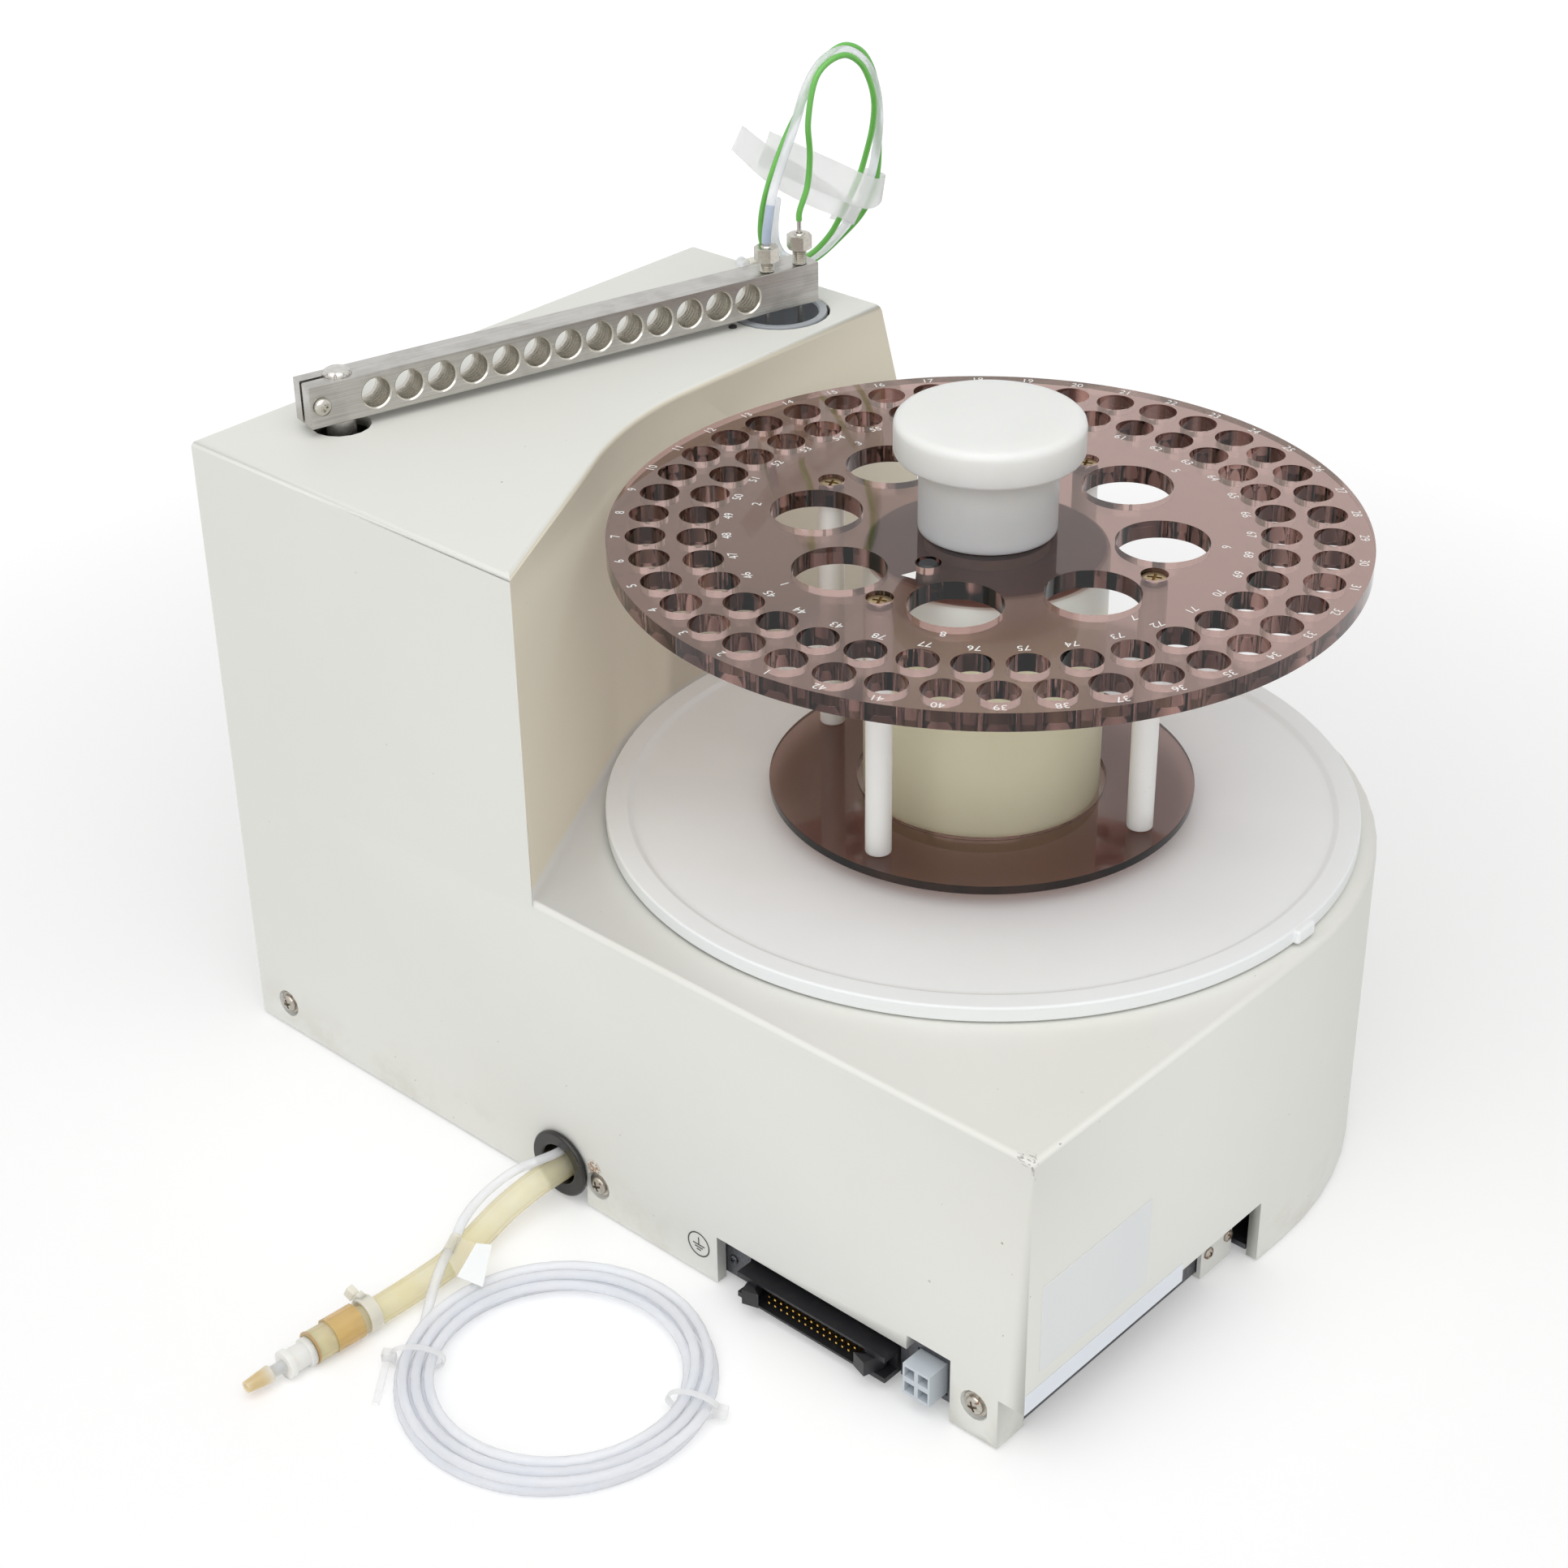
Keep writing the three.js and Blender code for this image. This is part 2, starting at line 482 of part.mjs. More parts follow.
const coverPlastic = () => finish(0xdedcd2, 0.55, 0);
const greyMetal = () => finish(0x55565a, 0.5, 0.6);
const steel = () => finish(0xb4b2ae, 0.35, 0.9);
const zinc = () => finish(0xa9a6a0, 0.45, 0.8);
const blackRubber = () => finish(0x1c1c1e, 0.7, 0);
const blackPlastic = () => finish(0x26262a, 0.5, 0);
const creamPlastic = () => finish(0xcfcab0, 0.5, 0);
const whitePlastic = () => finish(0xe9e8e4, 0.45, 0);
const smokeAcrylic = () => finish(0x8a6f68, 0.15, 0, 0.75);
const clearPlastic = () => finish(0xe6e8e8, 0.2, 0, 0.7);
const motorBlack = () => finish(0x2b2c30, 0.4, 0.4);
const boardGreen = () => finish(0x2d6a48, 0.5, 0);
const greyCup = () => finish(0x9a9c9e, 0.5, 0.1);
const greenTube = () => finish(0x5fae4e, 0.4, 0);
const clearTube = () => finish(0xd8dee4, 0.25, 0, 0.6);
const amberTube = () => finish(0xd2bf80, 0.3, 0, 0.7);
const acetal = () => finish(0xe2dfd2, 0.5, 0);

// Solids

// One closed surface: shared points merged, empty triangles gone, faces outward.
function sealed(geometry) {
  const bare = geometry.clone();
  bare.deleteAttribute('normal');
  bare.deleteAttribute('uv');
  const merged = mergeVertices(bare, NEAR_MERGE);
  const at = merged.attributes.position;
  const corners = [0, 1, 2].map(() => new THREE.Vector3());
  const kept = [];
  let volume = 0;
  for (let i = 0; i < merged.index.count; i += corners.length) {
    const ids = corners.map((_, k) => merged.index.getX(i + k));
    if (new Set(ids).size < corners.length) continue;
    corners.forEach((corner, k) => corner.fromBufferAttribute(at, ids[k]));
    volume += corners[0].dot(corners[1].clone().cross(corners[2]));
    kept.push(ids);
  }
  const turned = kept.map((ids) => (volume < 0 ? [...ids].reverse() : ids));
  merged.setIndex(turned.flat());
  return merged;
}

function toSolid(geometry) {
  const closed = sealed(geometry);
  const vertProperties = new Float32Array(closed.attributes.position.array);
  const triVerts = new Uint32Array(closed.index.array);
  return new wasm.Manifold(new wasm.Mesh({ numProp: 3, vertProperties, triVerts }));
}

function toGeometry(solid) {
  const mesh = solid.getMesh();
  const geometry = new THREE.BufferGeometry();
  geometry.setAttribute('position', new THREE.BufferAttribute(mesh.vertProperties, mesh.numProp));
  geometry.setIndex(new THREE.BufferAttribute(mesh.triVerts, 1));
  return geometry;
}

// The first solid with others joined to it and cuts taken out of it.
function worked(base, joins, cuts) {
  let solid = toSolid(base);
  for (const join of joins) solid = solid.add(toSolid(join));
  for (const cut of cuts) solid = solid.subtract(toSolid(cut));
  return toGeometry(solid);
}

// A block between two opposite corners.
function block(low, high) {
  const size = high.map((value, i) => value - low[i]);
  const geometry = new THREE.BoxGeometry(...size);
  geometry.translate(...low.map((value, i) => value + size[i] / 2));
  return geometry;
}

// An upright cylinder.
function rod(radius, bottom, top, place = [0, 0], sides = ROUND_SIDES) {
  const geometry = new THREE.CylinderGeometry(radius, radius, top - bottom, sides);
  geometry.rotateX(Math.PI / 2);
  geometry.translate(place[0], place[1], (bottom + top) / 2);
  return geometry;
}

// A cylinder along X or Y through a place on the other two axes.
function crossRod(axis, radius, from, to, across, height, sides = ROUND_SIDES) {
  const geometry = new THREE.CylinderGeometry(radius, radius, to - from, sides);
  const middle = (from + to) / 2;
  if (axis === 'x') {
    geometry.rotateZ(Math.PI / 2);
    geometry.translate(middle, across, height);
  } else {
    geometry.translate(across, middle, height);
  }
  return geometry;
}

// A turned piece from [radius, height] points.
function turned(profile, place = [0, 0], sides = ROUND_SIDES) {
  const points = profile.map(([r, z]) => new THREE.Vector2(r, z));
  const geometry = new THREE.LatheGeometry(points, sides);
  geometry.rotateX(Math.PI / 2);
  geometry.translate(place[0], place[1], 0);
  return sealed(geometry);
}

// A turned ring or tube, whose profile closes on itself.
function turnedRing(profile, place = [0, 0], sides = ROUND_SIDES) {
  return turned([...profile, profile[0]], place, sides);
}

function arc(radius, fromDegrees, toDegrees, steps, place = [0, 0]) {
  const points = [];
  for (let i = 0; i <= steps; i += 1) {
    const angle = radians(fromDegrees + ((toDegrees - fromDegrees) * i) / steps);
    points.push([place[0] + radius * Math.cos(angle), place[1] + radius * Math.sin(angle)]);
  }
  return points;
}

function circle(radius, sides, place = [0, 0], startDegrees = 0) {
  return arc(radius, startDegrees, startDegrees + 360, sides, place).slice(1);
}

function onCircle(radius, degrees) {
  return [radius * Math.cos(radians(degrees)), radius * Math.sin(radians(degrees))];
}

function shapeOf(points, holes = []) {
  const shape = new THREE.Shape(points.map(([x, y]) => new THREE.Vector2(x, y)));
  for (const hole of holes) {
    shape.holes.push(new THREE.Path(hole.map(([x, y]) => new THREE.Vector2(x, y))));
  }
  return shape;
}

// An outline pulled upwards, with rounded or plain edges.
function upright(points, bottom, top, holes = [], edge = 0) {
  const options = { depth: top - bottom - 2 * edge, bevelEnabled: edge > 0 };
  const rounding = { bevelThickness: edge, bevelSize: edge, bevelOffset: -edge };
  const settings = { ...options, ...rounding, bevelSegments: EDGE_STEPS };
  const geometry = new THREE.ExtrudeGeometry(shapeOf(points, holes), settings);
  geometry.translate(0, 0, bottom + edge);
  return geometry;
}

// An outline in X and Z pulled along Y.
function alongY(points, from, to, holes = []) {
  const options = { depth: to - from, bevelEnabled: false };
  const geometry = new THREE.ExtrudeGeometry(shapeOf(points, holes), options);
  geometry.rotateX(Math.PI / 2);
  geometry.translate(0, to, 0);
  return geometry;
}

// An outline in Y and Z pulled along X.
function alongX(points, from, to) {
  const options = { depth: to - from, bevelEnabled: false };
  const geometry = new THREE.ExtrudeGeometry(shapeOf(points), options);
  const turn = new THREE.Matrix4();
  const axes = [[0, 1, 0], [0, 0, 1], [1, 0, 0]].map((axis) => new THREE.Vector3(...axis));
  turn.makeBasis(...axes);
  geometry.applyMatrix4(turn);
  geometry.translate(from, 0, 0);
  return geometry;
}

// Gears

function involute(angle) {
  return Math.tan(angle) - angle;
}

// A spur gear's outline; a tooth points along +X. Flanks are involutes above the base circle.
function gearOutline(teeth, module, flankSteps) {
  const pitch = (teeth * module) / 2;
  const pressure = radians(PRESSURE_DEGREES);
  const base = pitch * Math.cos(pressure);
  const root = pitch - TOOTH_ROOT_SHARE * module;
  const tip = pitch + module;
  const half = Math.PI / 2 / teeth - BACKLASH / 2 / pitch;
  const spread = (radius) => {
    const own = Math.acos(Math.min(1, base / radius));
    return half + involute(pressure) - involute(own);
  };
  const points = [];
  for (let tooth = 0; tooth < teeth; tooth += 1) {
    const middle = (2 * Math.PI * tooth) / teeth;
    const flank = [];
    for (let i = 0; i <= flankSteps; i += 1) {
      const radius = root + ((tip - root) * i) / flankSteps;
      flank.push([radius, spread(Math.max(radius, base))]);
    }
    const rise = flank.map(([r, a]) => [r, middle - a]);
    const fall = [...flank].reverse().map(([r, a]) => [r, middle + a]);
    points.push(...[...rise, ...fall].map(([r, a]) => [r * Math.cos(a), r * Math.sin(a)]));
  }
  return points;
}

function spurGear(teeth, module, bottom, width, bore, turnDegrees, flankSteps) {
  const holes = bore > 0 ? [circle(bore, ROUND_SIDES)] : [];
  const gear = upright(gearOutline(teeth, module, flankSteps), bottom, bottom + width, holes);
  gear.rotateZ(radians(turnDegrees));
  return gear;
}

function pitchRadius(teeth, module) {
  return (teeth * module) / 2;
}

// Half a tooth's angle, which turns a gap to where a tooth was.
function halfToothDegrees(teeth) {
  return 180 / teeth;
}

// Tubes

function routeCurve(points) {
  return new THREE.CatmullRomCurve3(points.map((point) => new THREE.Vector3(...point)), false, 'centripetal');
}

function tube(points, radius, sides, steps) {
  const section = shapeOf(circle(radius, sides));
  const options = { steps, bevelEnabled: false, extrudePath: routeCurve(points) };
  return new THREE.ExtrudeGeometry(section, options);
}

// Assembly

const autosampler = new THREE.Group();
const cordNames = new Set();

function addPiece(parent, name, geometry, material) {
  const mesh = new THREE.Mesh(sealed(geometry), material);
  mesh.name = name;
  parent.add(mesh);
  return mesh;
}

function addCord(parent, name, geometry, material) {
  cordNames.add(name);
  addPiece(parent, name, geometry, material);
}

// Cover

function bodyOutline(inset) {
  const left = -(BODY_LEFT - inset);
  const radius = ROUND_RADIUS - inset;
  const back = BODY_BACK - inset;
  return [[left, -radius], ...arc(radius, -90, 0, ARC_STEPS), [radius, back], [left, back]];
}

function towerOutline(inset) {
  const left = -(BODY_LEFT - inset);
  const radius = TOWER_HOLLOW_RADIUS + inset;
  const right = ROUND_RADIUS - inset;
  const back = BODY_BACK - inset;
  const hollow = arc(radius, TOWER_TANGENT_DEGREES, 90, TOWER_ARC_STEPS);
  const angle = radians(TOWER_TANGENT_DEGREES);
  const start = hollow[0][1] + (hollow[0][0] - left) / Math.tan(angle);
  return [[left, start], ...hollow, [right, radius], [right, back], [left, back]];
}

// The tower seen from the front, with its slanted right side.
function towerFront(inset) {
  const start = DECK_TOP + TOWER_SLANT_START;
  const slope = (ROUND_RADIUS - TOWER_RIGHT_TOP) / (TOWER_TOP - start);
  const shift = inset * Math.hypot(1, slope);
  const top = TOWER_TOP + OVERRUN;
  const bottom = DECK_TOP - TOWER_SINK - COVER_WALL - OVERRUN;
  const left = -(BODY_LEFT + OVERRUN);
  const right = ROUND_RADIUS + OVERRUN;
  const topRight = TOWER_RIGHT_TOP - shift - OVERRUN * slope;
  const startRight = ROUND_RADIUS - shift;
  return [[left, bottom], [right, bottom], [right, start], [startRight, start], [topRight, top], [left, top]];
}

function towerSolid(inset, bottom, edge) {
  const prism = toSolid(upright(towerOutline(inset), bottom, TOWER_TOP - inset, [], edge));
  const front = alongY(towerFront(inset), 0, BODY_BACK + OVERRUN);
  return toGeometry(prism.intersect(toSolid(front)));
}

function screwCuts() {
  const face = -BODY_LEFT;
  const recess = SCREW_HEAD_RADIUS + SCREW_RECESS_GAP;
  const hole = SCREW_SHANK_RADIUS + SEAT_GAP;
  const cuts = [];
  for (const [y, z] of SCREW_PLACES) {
    cuts.push(crossRod('x', recess, face - OVERRUN, face + SCREW_RECESS_DEPTH, y, z));
    cuts.push(crossRod('x', hole, face, face + COVER_WALL + OVERRUN, y, z, SMALL_SIDES));
  }
  return cuts;
}

// The openings low in the left face: connectors, and the arch round the grommet.
function sidePorts() {
  const outside = -BODY_LEFT - OVERRUN;
  const inside = -BODY_LEFT + COVER_WALL + OVERRUN;
  const below = COVER_BASE - OVERRUN;
  const archLow = GROMMET_Y - GROMMET_PORT_RADIUS;
  const archHigh = GROMMET_Y + GROMMET_PORT_RADIUS;
  const front = SOCKET_FRONT - SIDE_PORT_BEFORE;
  const step = SOCKET_REAR + SIDE_PORT_STEP_BEHIND;
  const top = HEADER_BOTTOM + HEADER_HEIGHT + SIDE_PORT_ABOVE;
  const stepTop = SOCKET_BOTTOM + SOCKET_HEIGHT + SIDE_PORT_STEP_ABOVE;
  return [
    block([outside, front, below], [inside, HEADER_REAR + SIDE_PORT_BEHIND, top]),
    block([outside, front, below], [inside, step, stepTop]),
    block([outside, archLow, below], [inside, archHigh, GROMMET_Z]),
    crossRod('x', GROMMET_PORT_RADIUS, outside, inside, GROMMET_Y, GROMMET_Z),
  ];
}

const frontSetBack = -(ROUND_RADIUS - FRONT_SET_BACK);
const cornerFootRight = -(BODY_LEFT - CORNER_FOOT_WIDTH);

function buildCover() {
  const base = upright(bodyOutline(0), COVER_BASE - EDGE_ROUND, DECK_TOP, [], EDGE_ROUND);
  const tower = towerSolid(0, DECK_TOP - TOWER_SINK, EDGE_ROUND);
  const ceiling = DECK_TOP - COVER_WALL;
  const under = COVER_BASE - EDGE_ROUND - OVERRUN;
  const low = upright(bodyOutline(COVER_WALL), under, ceiling);
  const high = towerSolid(COVER_WALL, ceiling - OVERRUN, 0);
  const ground = block(
    [-BODY_LEFT - OVERRUN, -ROUND_RADIUS - OVERRUN, under],
    [ROUND_RADIUS + OVERRUN, BODY_BACK + OVERRUN, COVER_BASE],
  );
  const outside = [-BODY_LEFT - OVERRUN, -ROUND_RADIUS - OVERRUN, COVER_BASE - OVERRUN];
  const lift = block(outside, [FRONT_LIFT_RIGHT, frontSetBack, FRONT_LIFT_TOP]);
  const notch = block([FRONT_LIFT_RIGHT, ...outside.slice(1)], [NOTCH_RIGHT, frontSetBack, NOTCH_TOP]);
  const foot = block(
    [-BODY_LEFT, frontSetBack, COVER_BASE],
    [cornerFootRight, frontSetBack + COVER_WALL, CORNER_FOOT_TOP],
  );
  const shelf = block(
    [-BODY_LEFT + COVER_WALL / 2, -ROUND_RADIUS + COVER_WALL / 2, FRONT_LIFT_TOP],
    [cornerFootRight, frontSetBack + COVER_WALL, CORNER_FOOT_TOP],
  );
  const over = TOWER_TOP + OVERRUN;
  const shell = worked(base, [tower], [low, high, ground]);
  const ports = [
    rod(SPINDLE_PORT_RADIUS, ceiling - OVERRUN, DECK_TOP + OVERRUN),
    rod(SHAFT_PORT_RADIUS, TOWER_TOP - COVER_WALL - OVERRUN, over, SHAFT_PLACE),
    rod(CUP_RADIUS + CUP_PORT_GAP, TOWER_TOP - COVER_WALL - OVERRUN, over, CUP_PLACE, MIDDLE_SIDES),
    lift,
    notch,
    ...sidePorts(),
    ...screwCuts(),
  ];
  const cut = worked(shell, [], ports);
  addPiece(autosampler, 'cover_shell', worked(cut, [foot, shelf], []), coverPlastic());
}

// A screw head that stands on z = 0, with its edge rounded off.
function domedHead(radius, depth, sides) {
  const dome = depth * DOME_SHARE;
  const profile = [[0, 0], [radius, 0], [radius, depth - dome], [radius - dome, depth], [0, depth]];
  return turned(profile, [0, 0], sides);
}

function buildCoverScrews() {
  const names = ['cover_screw_rear', 'cover_screw_middle', 'cover_screw_front'];
  const seat = -BODY_LEFT + SCREW_RECESS_DEPTH - SEAT_GAP;
  SCREW_PLACES.forEach(([y, z], i) => {
    const head = domedHead(SCREW_HEAD_RADIUS, SCREW_HEAD_DEPTH, ROUND_SIDES);
    const shankTop = SCREW_HEAD_DEPTH * DOME_SHARE;
    const shank = rod(SCREW_SHANK_RADIUS, -SCREW_SHANK_LENGTH, shankTop, [0, 0], SMALL_SIDES);
    const geometry = worked(head, [shank], []);
    geometry.rotateY(-Math.PI / 2);
    geometry.translate(seat, y, z);
    addPiece(autosampler, names[i], geometry, zinc());
  });
}

// Chassis

const flangeFace = BODY_LEFT - COVER_WALL - SEAT_GAP; // outer face of the left flange
const plateTop = PLATE_BOTTOM + PLATE_THICKNESS;
const seatZ = plateTop + SEAT_GAP;
const boardFace = -(flangeFace - PLATE_THICKNESS - SEAT_GAP);
const headerBack = boardFace - SEAT_GAP;
const headerMouth = headerBack - HEADER_DEPTH;
const socketMouth = headerBack - SOCKET_DEPTH;

function chassisWindows() {
  const out = -flangeFace - OVERRUN;
  const below = PLATE_BOTTOM - OVERRUN;
  const through = boardFace + SEAT_GAP;
  const headerTop = HEADER_BOTTOM + HEADER_HEIGHT + WINDOW_GAP;
  const socketTop = SOCKET_BOTTOM + SOCKET_HEIGHT + WINDOW_GAP;
  const lip = GROMMET_LIP_RADIUS + WINDOW_GAP;
  const lipDepth = -flangeFace + GROMMET_LIP + WINDOW_GAP;
  const windows = [
    block([out, HEADER_FRONT - WINDOW_GAP, below], [through, HEADER_REAR + WINDOW_GAP, headerTop]),
    block([out, SOCKET_FRONT - WINDOW_GAP, SOCKET_BOTTOM - WINDOW_GAP],
      [through, SOCKET_REAR + WINDOW_GAP, socketTop]),
    block([out, GROMMET_Y - lip, below], [lipDepth, GROMMET_Y + lip, FLANGE_TOP + OVERRUN]),
  ];
  for (const [y, z] of SCREW_PLACES) {
    const hole = SCREW_SHANK_RADIUS + SEAT_GAP;
    windows.push(crossRod('x', hole, out, -flangeFace + PLATE_THICKNESS + OVERRUN, y, z, SMALL_SIDES));
  }
  return windows;
}

function buildChassis() {
  const inset = COVER_WALL + SEAT_GAP;
  const left = -flangeFace;
  const right = ROUND_RADIUS - inset;
  const back = BODY_BACK - inset;
  const front = frontSetBack + SEAT_GAP;
  const corner = frontSetBack + COVER_WALL + SEAT_GAP;
  const plate = upright(bodyOutline(inset), PLATE_BOTTOM, plateTop);
  const leftFlange = block([left, corner, PLATE_BOTTOM], [left + PLATE_THICKNESS, back, FLANGE_TOP]);
  const rightFlange = block(
    [right - PLATE_THICKNESS, RIGHT_FLANGE_FRONT, PLATE_BOTTOM],
    [right, back, FLANGE_TOP],
  );
  const frontFlange = block(
    [cornerFootRight + SEAT_GAP, front, PLATE_BOTTOM],
    [NOTCH_RIGHT - SEAT_GAP, front + PLATE_THICKNESS, FRONT_FLANGE_TOP],
  );
  const beyond = block(
    [left - OVERRUN, -ROUND_RADIUS, PLATE_BOTTOM - OVERRUN],
    [NOTCH_RIGHT - SEAT_GAP, front, plateTop + OVERRUN],
  );
  const cornerCut = block(
    [left - OVERRUN, -ROUND_RADIUS, PLATE_BOTTOM - OVERRUN],
    [cornerFootRight + SEAT_GAP, corner, FLANGE_TOP],
  );
  const joins = [leftFlange, rightFlange, frontFlange];
  const geometry = worked(plate, joins, [beyond, cornerCut, ...chassisWindows()]);
  addPiece(autosampler, 'chassis_plate', geometry, greyMetal());
  FOOT_PLACES.forEach((place, i) => {
    const foot = rod(FOOT_RADIUS, 0, PLATE_BOTTOM - SEAT_GAP, place);
    addPiece(autosampler, FOOT_NAMES[i], foot, blackRubber());
  });
}

// An L-shaped plate screwed to the front flange, a seat gap in front of it, seen in the notch.
function buildBracket() {
  const face = frontSetBack;
  const low = [BRACKET_RIGHT - BRACKET_WIDTH, face - BRACKET_THICKNESS, BRACKET_BOTTOM];
  const web = block(low, [BRACKET_RIGHT, face, BRACKET_TOP]);
  const foot = block(
    [low[0], face - BRACKET_THICKNESS, BRACKET_BOTTOM],
    [BRACKET_RIGHT, face + BRACKET_FOOT, PLATE_BOTTOM - SEAT_GAP],
  );
  addPiece(autosampler, 'notch_bracket', worked(web, [foot], []), coverPlastic());
}

function buildGrommet() {
  const outer = -BODY_LEFT - SEAT_GAP;
  const inner = -BODY_LEFT + COVER_WALL + SEAT_GAP;
  const neck = GROMMET_NECK_RADIUS;
  const bore = GROMMET_BORE_RADIUS;
  const lip = GROMMET_LIP_RADIUS;
  const edge = GROMMET_LIP / 2;
  const profile = [
    [bore, outer - GROMMET_LIP], [lip - edge, outer - GROMMET_LIP], [lip, outer - edge], [lip, outer],
    [neck, outer], [neck, inner], [lip, inner], [lip - edge, inner + GROMMET_LIP],
    [bore, inner + GROMMET_LIP],
  ];
  const ring = turnedRing(profile);
  ring.rotateY(Math.PI / 2);
  ring.translate(0, GROMMET_Y, GROMMET_Z);
  addPiece(autosampler, 'cable_grommet', ring, blackRubber());
}

// Connectors

function latchPivots() {
  const x = headerBack - HEADER_BASE - LATCH_PIVOT_DEPTH;
  return [
    { name: 'header_latch_front', place: [x, HEADER_FRONT + LATCH_PIVOT_FROM_END], side: 1 },
    { name: 'header_latch_rear', place: [x, HEADER_REAR - LATCH_PIVOT_FROM_END], side: -1 },
  ];
}

function headerPins() {
  const centre = (HEADER_FRONT + HEADER_REAR) / 2;
  const middle = HEADER_BOTTOM + HEADER_HEIGHT / 2;
  const root = headerBack - HEADER_BASE;
  const pins = [];
  for (let column = 0; column < PIN_COLUMNS; column += 1) {
    for (let row = 0; row < PIN_ROWS; row += 1) {
      const y = centre + (column - (PIN_COLUMNS - 1) / 2) * PIN_PITCH - PIN_WIDTH / 2;
      const z = middle + (row - (PIN_ROWS - 1) / 2) * PIN_PITCH - PIN_WIDTH / 2;
      const tip = root - PIN_LENGTH;
      pins.push(block([tip, y, z], [root + HEADER_BASE / 2, y + PIN_WIDTH, z + PIN_WIDTH]));
    }
  }
  return pins;
}

function buildHeader() {
  const top = HEADER_BOTTOM + HEADER_HEIGHT;
  const root = headerBack - HEADER_BASE;
  const body = block([headerMouth, HEADER_FRONT, HEADER_BOTTOM], [headerBack, HEADER_REAR, top]);
  const mouth = block(
    [headerMouth - OVERRUN, HEADER_FRONT + HEADER_TOWER, HEADER_BOTTOM + HEADER_WALL],
    [root, HEADER_REAR - HEADER_TOWER, top - HEADER_WALL],
  );
  const slotLow = HEADER_BOTTOM + HEADER_SLOT_WALL;
  const slot = block(
    [headerMouth - OVERRUN, HEADER_FRONT - OVERRUN, slotLow],
    [root, HEADER_REAR + OVERRUN, top - HEADER_SLOT_WALL],
  );
  const hollow = worked(body, [], [mouth, slot]);
  addPiece(autosampler, 'signal_header', worked(hollow, headerPins(), []), blackPlastic());
  const low = slotLow + LATCH_GAP;
  const high = top - HEADER_SLOT_WALL - LATCH_GAP;
  for (const { name, place, side } of latchPivots()) {
    const half = LATCH_WIDTH / 2;
    const tip = -LATCH_LENGTH;
    const outline = [...arc(half, -90, 90, LATCH_ROUND_STEPS), [tip, half], [tip, -half]];
    const hook = [[tip, half], [tip, half + LATCH_HOOK], [tip + LATCH_HOOK, half]];
    const arm = worked(upright(outline, low, high), [upright(hook, low, high)], []);
    if (side < 0) arm.scale(1, side, 1);
    arm.rotateZ(radians(-side * LATCH_LEAN_DEGREES));
    arm.translate(place[0], place[1], 0);
    addPiece(autosampler, name, arm, blackPlastic());
  }
}

function buildSocket() {
  const top = SOCKET_BOTTOM + SOCKET_HEIGHT;
  const body = block([socketMouth, SOCKET_FRONT, SOCKET_BOTTOM], [headerBack, SOCKET_REAR, top]);
  const width = SOCKET_REAR - SOCKET_FRONT;
  const ports = [];
  for (let i = 0; i < SOCKET_PORTS; i += 1) {
    for (let j = 0; j < SOCKET_PORTS; j += 1) {
      const y = SOCKET_FRONT + ((i + 1 / 2) * width) / SOCKET_PORTS - SOCKET_PORT / 2;
      const z = SOCKET_BOTTOM + ((j + 1 / 2) * SOCKET_HEIGHT) / SOCKET_PORTS - SOCKET_PORT / 2;
      const low = [socketMouth - OVERRUN, y, z];
      ports.push(block(low, [socketMouth + SOCKET_PORT_DEPTH, y + SOCKET_PORT, z + SOCKET_PORT]));
    }
  }
  addPiece(autosampler, 'power_socket', worked(body, [], ports), whitePlastic());
  const low = [boardFace, BOARD_FRONT, seatZ];
  const board = block(low, [boardFace + BOARD_THICKNESS, BOARD_REAR, BOARD_TOP]);
  addPiece(autosampler, 'circuit_board', board, boardGreen());
}

// Rinse cup

function buildCup() {
  const rim = TOWER_TOP + CUP_RIM_ABOVE;
  const neck = CUP_FLOOR - CUP_FLOOR_THICKNESS;
  const edge = CUP_EDGE;
  const profile = [
    [0, seatZ], [CUP_FOOT_RADIUS, seatZ], [CUP_FOOT_RADIUS, seatZ + CUP_FOOT],
    [CUP_STEM_RADIUS, seatZ + CUP_FOOT], [CUP_STEM_RADIUS, neck], [CUP_RADIUS, neck],
    [CUP_RADIUS, rim - edge], [CUP_RADIUS - edge, rim], [CUP_BORE_RADIUS + edge, rim],
    [CUP_BORE_RADIUS, rim - edge], [CUP_BORE_RADIUS, CUP_FLOOR], [0, CUP_FLOOR],
  ];
  addPiece(autosampler, 'rinse_cup', turned(profile, CUP_PLACE, MIDDLE_SIDES), greyCup());
}

// Turntable drive

const tableCentres = pitchRadius(TABLE_GEAR_TEETH + TABLE_PINION_TEETH, GEAR_MODULE);
const tableMotorPlace = onCircle(tableCentres, TABLE_MOTOR_DEGREES);
const trayBottom = DECK_TOP + TRAY_RUN;

function turnedTo(geometry, degrees, place) {
  geometry.rotateZ(radians(degrees));
  geometry.translate(place[0], place[1], 0);
  return geometry;
}

